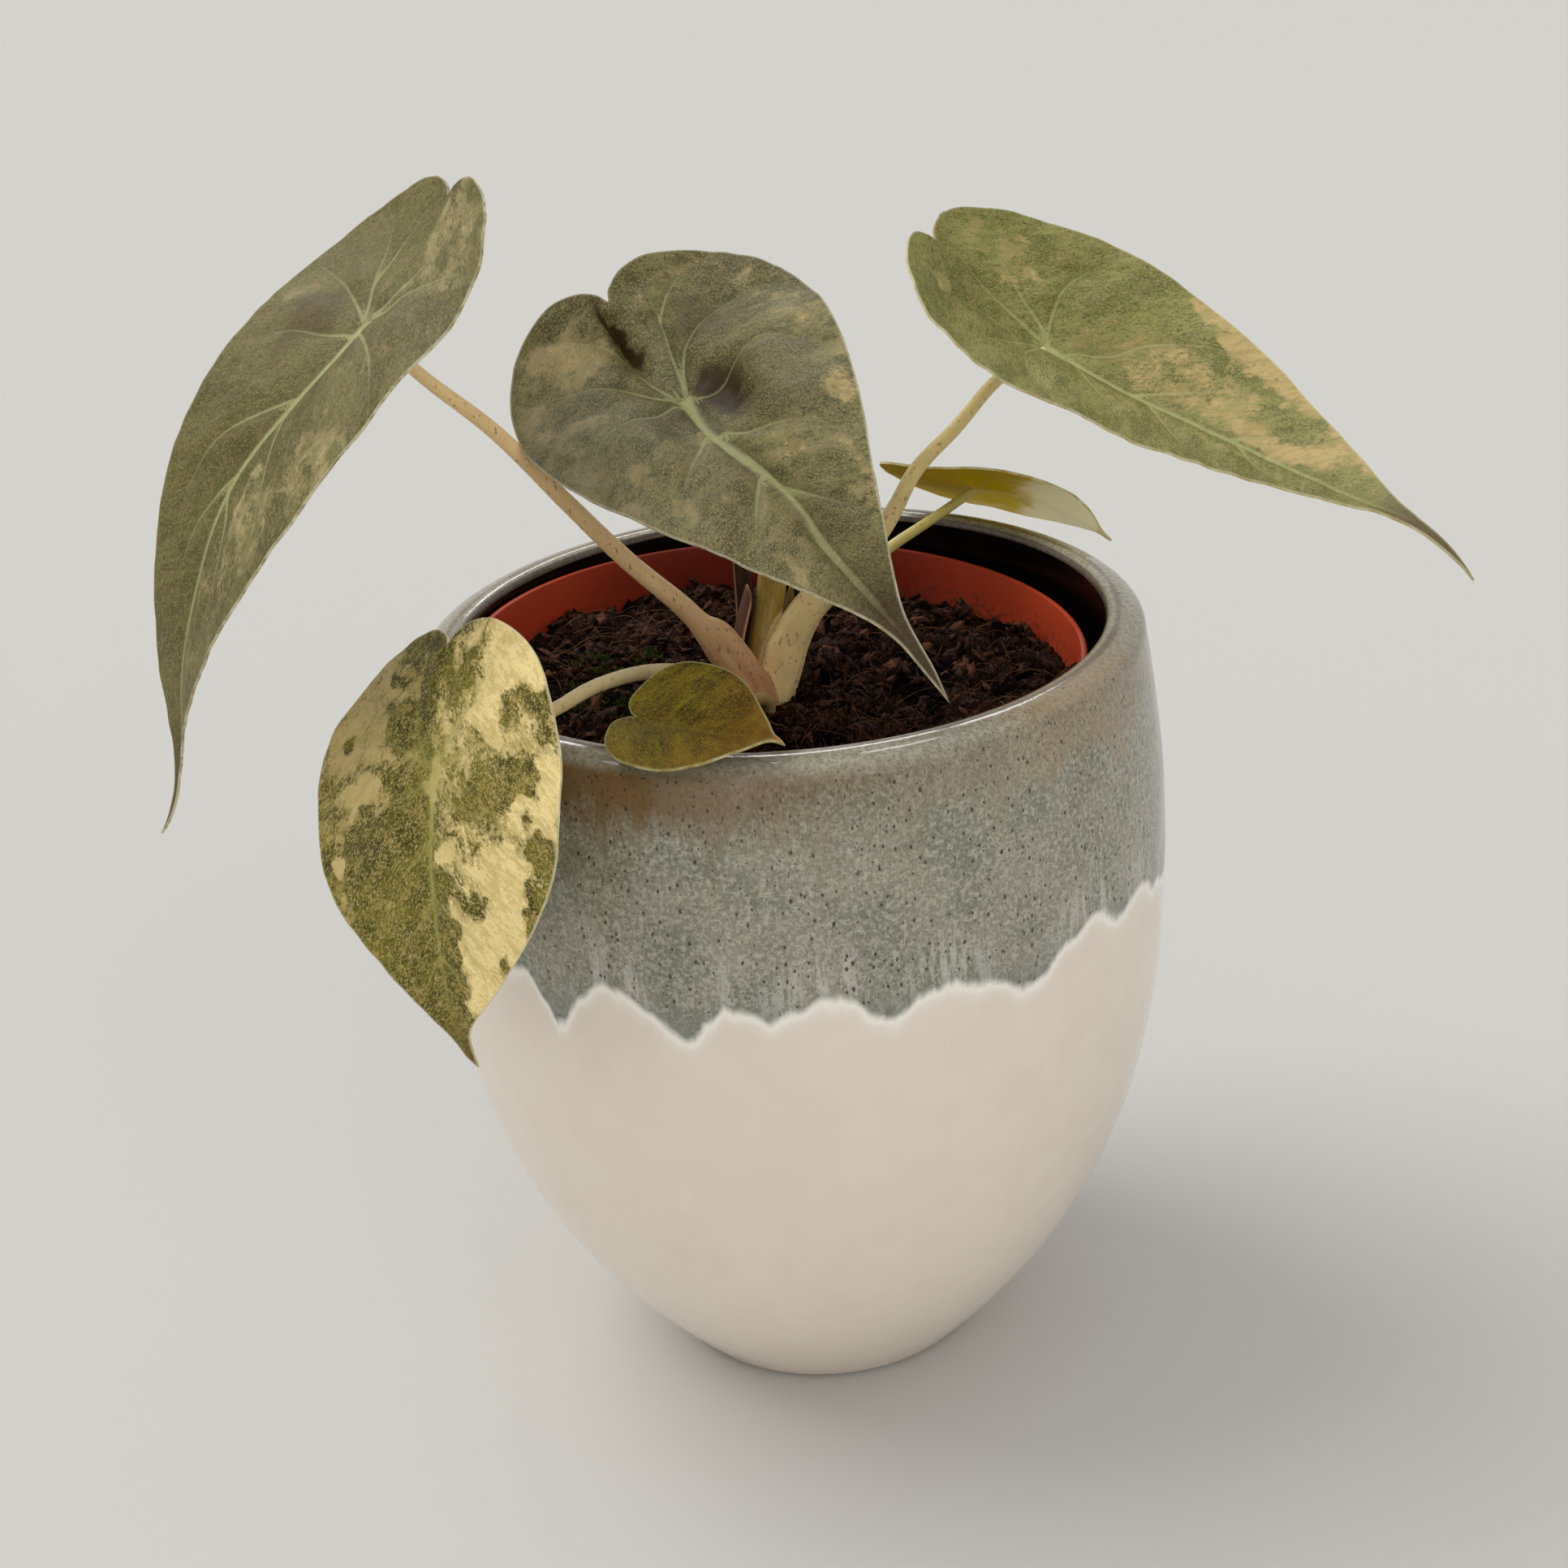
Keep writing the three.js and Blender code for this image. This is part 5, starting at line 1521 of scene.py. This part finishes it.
def soil_place(x, y, lift=0.0, height=1.5):
    """A place on the soil's top, in millimetres, for a point in the grow pot's frame."""
    z = float(soil_height(np.float64(x), np.float64(y))) + crumbly(x, y, height) + lift
    return grow_matrix() @ (Vector((x, y, z)) * MM) / MM


def random_on_soil(draw, reach=48.0):
    while True:
        x, y = draw.uniform(-reach, reach), draw.uniform(-reach, reach)
        crown = math.hypot(x - CROWN_CENTRE[0], y - CROWN_CENTRE[1])
        if math.hypot(x, y) < reach and crown > CROWN_RADIUS:
            return x, y


class ALOCASIA_OT_ceramic_pot(Operator):
    """Turn the glazed pot and give it its two glazes"""
    bl_idname = "alocasia.ceramic_pot"
    bl_label = "Glazed pot"

    def execute(self, context):
        settings = context.scene.alocasia.pot
        pot = ring_body(pot_profile(), settings.sides)
        points = points_of(pot) / MM
        angle = np.degrees(np.arctan2(points[:, 1], points[:, 0]))
        radius = np.hypot(points[:, 0], points[:, 1])
        outer = np.array([pot_outer_radius(min(max(z, 0), POT_HEIGHT)) for z in points[:, 2]])
        inside = (radius < outer - 3.2) & (points[:, 2] > 3) & (points[:, 2] < POT_HEIGHT - 1.2)
        edge = points[:, 2] - drip_line(angle)
        write_attribute(pot, "above_glaze_edge", edge)
        write_attribute(pot, "glaze_notch", np.clip((drip_line(angle) - 88) / 6, 0, 1))
        out = np.column_stack([points[:, :2] / np.maximum(radius, 1)[:, None], np.zeros(len(points))])
        lap = 1 / (1 + np.exp(-edge / 0.5)) * np.exp(-np.maximum(edge, 0) / 9)
        sway = np.array([noise.noise(Vector(p) / 28.0) for p in points])
        still = inside | (points[:, 2] < 2) | (radius < LIP_RADIUS - 1)
        shift = np.where(still, 0, lap * settings.glaze_thickness / MM + sway * 0.18)
        move_points(pot, (points + out * shift[:, None]) * MM)
        for face in pot.data.polygons:
            face.material_index = int(all(inside[index] for index in face.vertices))
        finish_piece(
            pot, "glazed_pot", "glazed_pot", "ceramic_pot", angle=60,
            materials=[glazed_finish(settings), dark_glaze_and_shade_finish(settings)])
        return {"FINISHED"}


class ALOCASIA_OT_grow_pot(Operator):
    """Turn the plastic grow pot and cut its drain holes"""
    bl_idname = "alocasia.grow_pot"
    bl_label = "Grow pot"

    def execute(self, context):
        settings = context.scene.alocasia.grow_pot
        rim, wall = GROW_RIM_RADIUS, GROW_WALL
        band = grow_radius(GROW_BAND)
        base = GROW_BASE_RADIUS
        profile = [(0, -GROW_HEIGHT), (base - 0.5, -GROW_HEIGHT), (base, -GROW_HEIGHT + 0.4)]
        outside = (80, 60, 40, 20, GROW_BAND + 0.6, GROW_BAND + 0.1)
        profile += [(grow_radius(depth), -depth) for depth in outside]
        profile += [(band + 0.2, -GROW_BAND), (rim - 0.6, -GROW_BAND), (rim - 0.35, -GROW_BAND + 0.25)]
        profile += [(rim - 0.15, -4), (rim, -0.8), (rim - 0.05, -0.35), (rim - 0.25, -0.08), (rim - 0.5, 0)]
        mouth = rim - wall
        profile += [(mouth + 0.3, 0), (mouth + 0.08, -0.1), (mouth, -0.35), (mouth - 0.4, -4)]
        profile += [(band - wall, -GROW_BAND - 1)]
        profile += [(grow_radius(depth) - wall, -depth) for depth in (20, 40, 60, 80)]
        profile += [(base - wall, -GROW_HEIGHT + wall), (0, -GROW_HEIGHT + wall)]
        pot = ring_body(profile, settings.sides)
        for number in range(DRAIN_HOLES):
            turn = 2 * math.pi * number / DRAIN_HOLES
            x, y = DRAIN_AT_RADIUS * math.cos(turn) * MM, DRAIN_AT_RADIUS * math.sin(turn) * MM
            deselect_all()
            bpy.ops.mesh.primitive_cylinder_add(
                vertices=32, radius=DRAIN_RADIUS * MM, depth=4 * wall * MM,
                location=(x, y, -GROW_HEIGHT * MM))
            drill = bpy.context.object
            cut = pot.modifiers.new("drain_hole", "BOOLEAN")
            cut.operation = "DIFFERENCE"
            cut.object = drill
            apply_modifiers(pot)
            bpy.data.objects.remove(drill)
        pot.data.transform(grow_matrix())
        plastic = plastic_finish(settings)
        finish_piece(pot, "grow_pot", "terracotta_plastic", "nursery_pot", materials=[plastic], angle=40)
        return {"FINISHED"}


class ALOCASIA_OT_soil(Operator):
    """Fill the grow pot with rough dark soil"""
    bl_idname = "alocasia.soil"
    bl_label = "Soil"

    def execute(self, context):
        settings = context.scene.alocasia.soil
        reach = grow_radius(SOIL_EDGE_DEPTH) - GROW_WALL - 0.15
        bottom = -GROW_HEIGHT + GROW_WALL + 0.3
        profile = [(0, 0)] + [(reach * (i / SOIL_RINGS), 0) for i in range(1, SOIL_RINGS + 1)]
        profile += [(reach - 0.3, -12), (GROW_BASE_RADIUS - GROW_WALL - 0.3, bottom), (0, bottom)]
        soil = ring_body(profile, SOIL_SIDES)
        points = points_of(soil) / MM
        top = points[:, 2] > -1
        relief = settings.crumb_height / MM
        lift = np.zeros(len(points))
        for i in np.flatnonzero(top):
            x, y, _ = points[i]
            lift[i] = crumbly(x, y, relief)
            points[i, 2] = soil_height(x, y) + lift[i]
        write_attribute(soil, "lift", lift)
        move_points(soil, points * MM)
        soil.data.transform(grow_matrix())
        finish_piece(soil, "soil_bed", "soil", "soil", materials=[soil_finish(settings)])
        return {"FINISHED"}


# Places of the large pale chips in the grow pot's frame, and their sizes, in millimetres
LARGE_CHIPS = ((38.5, -10.5, 2.6), (32, 9, 1.5), (-30, 30, 1.8), (12, -30, 1.2), (26, 26, 1.4))
# Middles and spreads of the moss cushions, likewise
MOSS_SPOTS = ((-31, 4, 4.5), (-33, -2, 4), (-26, -7, 4), (-32, 11, 2.6), (-22.5, 15, 2.0))
MOSS_TUFTS = 620


def scatter_crumbs(settings, draw, relief):
    """Dark crumbs, with a paler chip for every fifth, and a few large chips."""
    crumbs = crumb_shapes(draw)
    dark, pale = Scatter(), Scatter()
    for number in range(settings.crumbs):
        x, y = random_on_soil(draw, 48.3)
        size = 0.3 + 1.9 * draw.random() ** 3
        heap = dark if number % 5 else pale
        size *= 1 if heap is dark else 0.7
        place = soil_place(x, y, 0.15 * size, relief)
        lean = (draw.uniform(-0.9, 0.9), draw.uniform(-0.9, 0.9))
        heap.add(draw.choice(crumbs), scatter_matrix(place, draw.uniform(0, 6.3), lean, size))
    for x, y, size in LARGE_CHIPS:
        pale.add(crumbs[2], scatter_matrix(soil_place(x, y, 0.3, relief), x, (0.2, 0.1), size))
    finish_piece(
        dark.piece("crumbs"), "soil_crumbs", "soil",
        materials=[flecked_finish("peat_crumbs", tone(7, 2, 1), tone(94, 58, 42), 1.1, 0.8)])
    finish_piece(
        pale.piece("chips"), "bark_chips", "soil",
        materials=[flecked_finish("bark_chips", settings.bark, tone(58, 38, 26), 0.7, 0.75)])


def scatter_fibres(settings, draw, relief):
    """Coir fibres, some of them upright, and more of them at the front, that end inside the pot."""
    strands = fibre_shapes(draw)
    fibres = Scatter()
    for number in range(settings.fibres):
        x, y = random_on_soil(draw, 46.5)
        upright = number % 6 == 0
        if number % 9 == 0:
            x, y = draw.uniform(2, 20), draw.uniform(-34, -16)
        forward = (-1.3, -0.5) if upright else (-0.25, 0.25)
        lean = (draw.uniform(-0.4, 0.4), draw.uniform(*forward))
        size = draw.uniform(0.3, 0.95) * (0.7 if upright else 1)
        place = soil_place(x, y, 0.25, relief)
        end = math.hypot(x, y) + 10 * size
        turn = math.atan2(-y, -x) + draw.uniform(-1, 1) if end > 46 else draw.uniform(0, 6.3)
        fibres.add(draw.choice(strands), scatter_matrix(place, turn, lean, size))
    finish_piece(
        fibres.piece("fibres"), "coir_fibres", "soil",
        materials=[flecked_finish("coir_fibre", settings.fibre, tone(66, 40, 27), 0.3, 0.7)])


def scatter_moss(settings, draw, relief):
    """Cushions of moss tufts at the left."""
    tufts = moss_shapes(draw)
    moss = Scatter()
    for _ in range(MOSS_TUFTS):
        spot_x, spot_y, reach = draw.choice(MOSS_SPOTS)
        x, y = draw.gauss(spot_x, reach * 0.55) + 1.1, draw.gauss(spot_y, reach * 0.55)
        if math.hypot(x, y) > 47:
            continue
        tuft = draw.choice(tufts)
        turn = draw.uniform(0, 6.3)
        lean = (draw.uniform(-0.4, 0.4), draw.uniform(-0.4, 0.4))
        size = draw.uniform(0.5, 1.25)
        moss.add(tuft, scatter_matrix(soil_place(x, y, -0.05, relief), turn, lean, size))
    finish_piece(
        moss.piece("moss"), "moss_tufts", "soil",
        materials=[flecked_finish("moss", settings.moss, tone(58, 74, 24), 0.5, 0.6)])


class ALOCASIA_OT_litter(Operator):
    """Scatter crumbs, fibres, chips and moss over the soil"""
    bl_idname = "alocasia.litter"
    bl_label = "Crumbs, fibres and moss"

    def execute(self, context):
        settings = context.scene.alocasia.soil
        draw = random.Random(17)
        for scatter in (scatter_crumbs, scatter_fibres, scatter_moss):
            scatter(settings, draw, settings.crumb_height / MM)
        return {"FINISHED"}


# Samples along the left stalk, whose foot is swollen, and its radii there in millimetres
LEFT_STALK_RADII = ((0, 8, 16, 22, 30, 60, 89), (3.2, 3.6, 2.9, 1.9, 1.65, 1.35, 1.0))


class ALOCASIA_OT_stalks(Operator):
    """Grow the six leaf stalks from one crown"""
    bl_idname = "alocasia.stalks"
    bl_label = "Leaf stalks"

    def execute(self, context):
        settings = context.scene.alocasia.stalks
        lines = {name: stalk_line(name) for name in STALKS}
        left, left_radii = lines["leaf_left"]
        left_radii[:] = np.interp(np.arange(len(left)), *LEFT_STALK_RADII)
        right, _ = lines["leaf_right"]
        centre, _ = lines["leaf_centre"]
        pieces = [tube(line, radii) for line, radii in lines.values()]
        wing = left[5:22] + np.linspace(0.35, 1.0, 17)[:, None] * np.array([1.3, -0.4, 0.9])
        pieces.append(tube(wing, np.concatenate([np.linspace(3.3, 2.3, 14), [2.0, 1.5, 0.8]])))
        flap = right[5:27] + np.linspace(0.2, 0.8, 22)[:, None] * np.array([-0.7, -0.8, 0.2])
        pieces.append(tube(flap, np.concatenate([np.linspace(3.1, 3.3, 12), np.linspace(3.1, 1.7, 10)])))
        pieces.append(tube(centre[:60] + (0.4, 0, 0), np.linspace(3.1, 2.1, 60)))
        crown = {106: 6.2, 112: 6.2, 117: 5.4, 121: 2.5}
        pieces.append(tube([(*CROWN_CENTRE, height) for height in crown], crown.values()))
        body = join(pieces)
        remesh = body.modifiers.new("grow_together", "REMESH")
        remesh.mode = "VOXEL"
        remesh.voxel_size = settings.voxel
        smooth = body.modifiers.new("smooth", "SMOOTH")
        smooth.factor = 0.5
        smooth.iterations = 6
        apply_modifiers(body)
        stalk_attributes(body, lines)
        finish_piece(body, "leaf_stalks", "leaf_stalk", "petioles", materials=[stalk_finish(settings)])
        return {"FINISHED"}


YOUNG_SHEATH_LINE = ((-5.6, 9, 108), (-5.6, 9, 120), (-5.6, 9.5, 134), (-6.6, 9, 147.6))
SHEATH_SAMPLES = 60


class ALOCASIA_OT_sheaths(Operator):
    """Model the dark young sheath and the dry sheaths round the stalks"""
    bl_idname = "alocasia.sheaths"
    bl_label = "Sheaths"

    def execute(self, context):
        dark = sheath_finish("young_sheath", tone(46, 28, 16), tone(84, 54, 32), tone(150, 120, 90))
        brown = sheath_finish("wrapping_sheath", tone(92, 58, 38), tone(116, 76, 50), tone(204, 150, 116))
        olive = sheath_finish("olive_sheath", tone(108, 92, 40), tone(132, 114, 56), tone(158, 136, 78))
        line = resample(spline(YOUNG_SHEATH_LINE, SHEATH_SAMPLES), SHEATH_SAMPLES)
        share = np.linspace(0, 1, SHEATH_SAMPLES)
        spike = tube(line, 1.95 - 1.6 * share ** 3, 5)
        points = points_of(spike) / MM
        foot, tip = YOUNG_SHEATH_LINE[0][2], YOUNG_SHEATH_LINE[-1][2]
        last = SHEATH_SAMPLES - 1
        index = np.clip((points[:, 2] - foot) / (tip - foot) * last, 0, last).astype(int)
        offset = points - line[index]
        turn = np.arctan2(offset[:, 1], offset[:, 0])
        seam = np.exp(-((np.abs(turn) - 2.75) / 0.28) ** 2)
        write_attribute(spike, "stalk_place", np.column_stack([offset[:, :2], points[:, 2]]), "FLOAT_VECTOR")
        write_attribute(spike, "pale_edge", np.maximum(seam, (share[index] - 0.93) * 10))
        radial = unit(np.column_stack([offset[:, :2], np.zeros(len(offset))]) + 1e-9)
        lapped = points + radial * (0.22 * seam * (1 - share[index]))[:, None]
        move_points(spike, lapped * MM)
        finish_piece(spike, "young_sheath_spike", "dark_sheath", "young_sheath", materials=[dark])
        centre, _ = stalk_line("leaf_centre")
        front = wrap_sheath(centre[8:37] - (1.1, 0.2, 0), 3.6, 140, 236, 0.35, 0.16)
        finish_piece(front, "wrapping_sheath", "dark_sheath", materials=[brown])
        side = wrap_sheath(centre[12:36] + (2.2, 0.8, 0), 2.4, -80, 20, 0.3, 0.3)
        finish_piece(side, "olive_sheath", "dark_sheath", materials=[olive])
        return {"FINISHED"}


class ALOCASIA_OT_leaves(Operator):
    """Shape the six leaf blades with their veins and pale patches"""
    bl_idname = "alocasia.leaves"
    bl_label = "Leaf blades"

    def execute(self, context):
        settings = context.scene.alocasia.leaves
        for name in BLADES:
            build_blade(name, settings)
        return {"FINISHED"}


SKY_STRENGTH = 0.63
# Suns: the way they shine, their spread in degrees, power and colour
SUNS = {
    "window": ((0.5, -0.2, -0.8), 44, 1.5, (1.0, 0.99, 0.965)),
    "fill": ((-0.3, 0.88, -0.4), 60, 0.5, (1.0, 0.98, 0.95)),
}
# Long lamps that only show as highlights, with their places, and the point that they face, in metres
STRIPS = {"back_strip": (-0.15, 0.9, 0.75), "top_strip": (-0.1, 0.3, 1.1)}
STRIPS_FACE = (0, 0, 0.12)
STRIP_SIZE = (0.8, 0.08)
STRIP_POWER = 2.4
# The camera that was fitted to the photograph: its place and clipping in metres, its right, up and back
# axes, and its lens and sensor in millimetres
CAMERA_PLACE = (-0.00138, -0.39826, 0.28357)
CAMERA_AXES = ((0.99705, -0.03181, -0.06981), (0.07672, 0.41347, 0.90728), (0, -0.90996, 0.41469))
CAMERA_LENS = 59.627
CAMERA_SENSOR = 36
CAMERA_CLIP = (0.01, 50)


def add_lamp(name, kind, power, way):
    """A lamp that shines along a direction."""
    lamp = bpy.data.objects.new(name, bpy.data.lights.new(name, kind))
    bpy.context.scene.collection.objects.link(lamp)
    lamp.data.energy = power
    lamp.rotation_euler = Vector(way).to_track_quat("-Z", "Y").to_euler()
    return lamp


class ALOCASIA_OT_stage(Operator):
    """Set up the pale floor, the soft lights and the camera"""
    bl_idname = "alocasia.stage"
    bl_label = "Stage"

    def execute(self, context):
        settings = context.scene.alocasia.stage
        scene = context.scene
        deselect_all()
        bpy.ops.mesh.primitive_plane_add(size=settings.floor_size)
        floor = context.object
        floor.name = "floor"
        finish = Finish("pale_floor")
        finish.shade(base_color=settings.floor, roughness=0.9, specular=0.1)
        floor.data.materials.append(finish.surface)
        world = bpy.data.worlds.new("soft_studio")
        world.use_nodes = True
        sky = world.node_tree.nodes["Background"]
        sky.inputs["Color"].default_value = (1.0, 1.0, 1.0, 1.0)
        sky.inputs["Strength"].default_value = SKY_STRENGTH
        scene.world = world
        for name, (way, spread, power, colour) in SUNS.items():
            lamp = add_lamp(name, "SUN", power, way)
            lamp.data.angle = math.radians(spread)
            lamp.data.color = colour
        for name, place in STRIPS.items():
            lamp = add_lamp(name, "AREA", STRIP_POWER, Vector(STRIPS_FACE) - Vector(place))
            lamp.data.shape = "RECTANGLE"
            lamp.data.size, lamp.data.size_y = STRIP_SIZE
            lamp.location = place
            lamp.visible_diffuse = False
        camera = bpy.data.objects.new("view", bpy.data.cameras.new("view"))
        scene.collection.objects.link(camera)
        camera.data.lens = CAMERA_LENS
        camera.data.sensor_width = CAMERA_SENSOR
        camera.data.clip_start, camera.data.clip_end = CAMERA_CLIP
        turn = Matrix(CAMERA_AXES).transposed().to_4x4()
        camera.matrix_world = Matrix.Translation(CAMERA_PLACE) @ turn
        scene.camera = camera
        scene.view_settings.view_transform = "Standard"
        return {"FINISHED"}


class ALOCASIA_PT_sidebar(Panel):
    """Sizes and colours of the potted alocasia"""
    bl_idname = "ALOCASIA_PT_sidebar"
    bl_label = "Potted alocasia"
    bl_space_type = "VIEW_3D"
    bl_region_type = "UI"
    bl_category = "Alocasia"

    def draw(self, context):
        settings = context.scene.alocasia
        for key, operators in PANEL_ROWS:
            box = self.layout.box()
            for operator in operators:
                box.operator(operator.bl_idname)
            group = getattr(settings, key)
            for name in group.__annotations__:
                box.prop(group, name)


PANEL_ROWS = (
    ("pot", (ALOCASIA_OT_ceramic_pot,)),
    ("grow_pot", (ALOCASIA_OT_grow_pot,)),
    ("soil", (ALOCASIA_OT_soil, ALOCASIA_OT_litter)),
    ("stalks", (ALOCASIA_OT_stalks, ALOCASIA_OT_sheaths)),
    ("leaves", (ALOCASIA_OT_leaves,)),
    ("stage", (ALOCASIA_OT_stage,)),
)
CLASSES = (
    AlocasiaPotSettings, AlocasiaGrowPotSettings, AlocasiaSoilSettings, AlocasiaStalkSettings,
    AlocasiaLeafSettings, AlocasiaStageSettings, AlocasiaSettings,
    *(operator for _, operators in PANEL_ROWS for operator in operators), ALOCASIA_PT_sidebar,
)


def register():
    for cls in CLASSES:
        bpy.utils.register_class(cls)
    bpy.types.Scene.alocasia = PointerProperty(type=AlocasiaSettings)


def unregister():
    del bpy.types.Scene.alocasia
    for cls in reversed(CLASSES):
        bpy.utils.unregister_class(cls)


def main():
    register()
    bpy.ops.alocasia.stage()
    bpy.ops.alocasia.ceramic_pot()
    bpy.ops.alocasia.grow_pot()
    bpy.ops.alocasia.soil()
    bpy.ops.alocasia.litter()
    bpy.ops.alocasia.stalks()
    bpy.ops.alocasia.sheaths()
    bpy.ops.alocasia.leaves()
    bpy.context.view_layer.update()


if __name__ == "__main__":
    main()
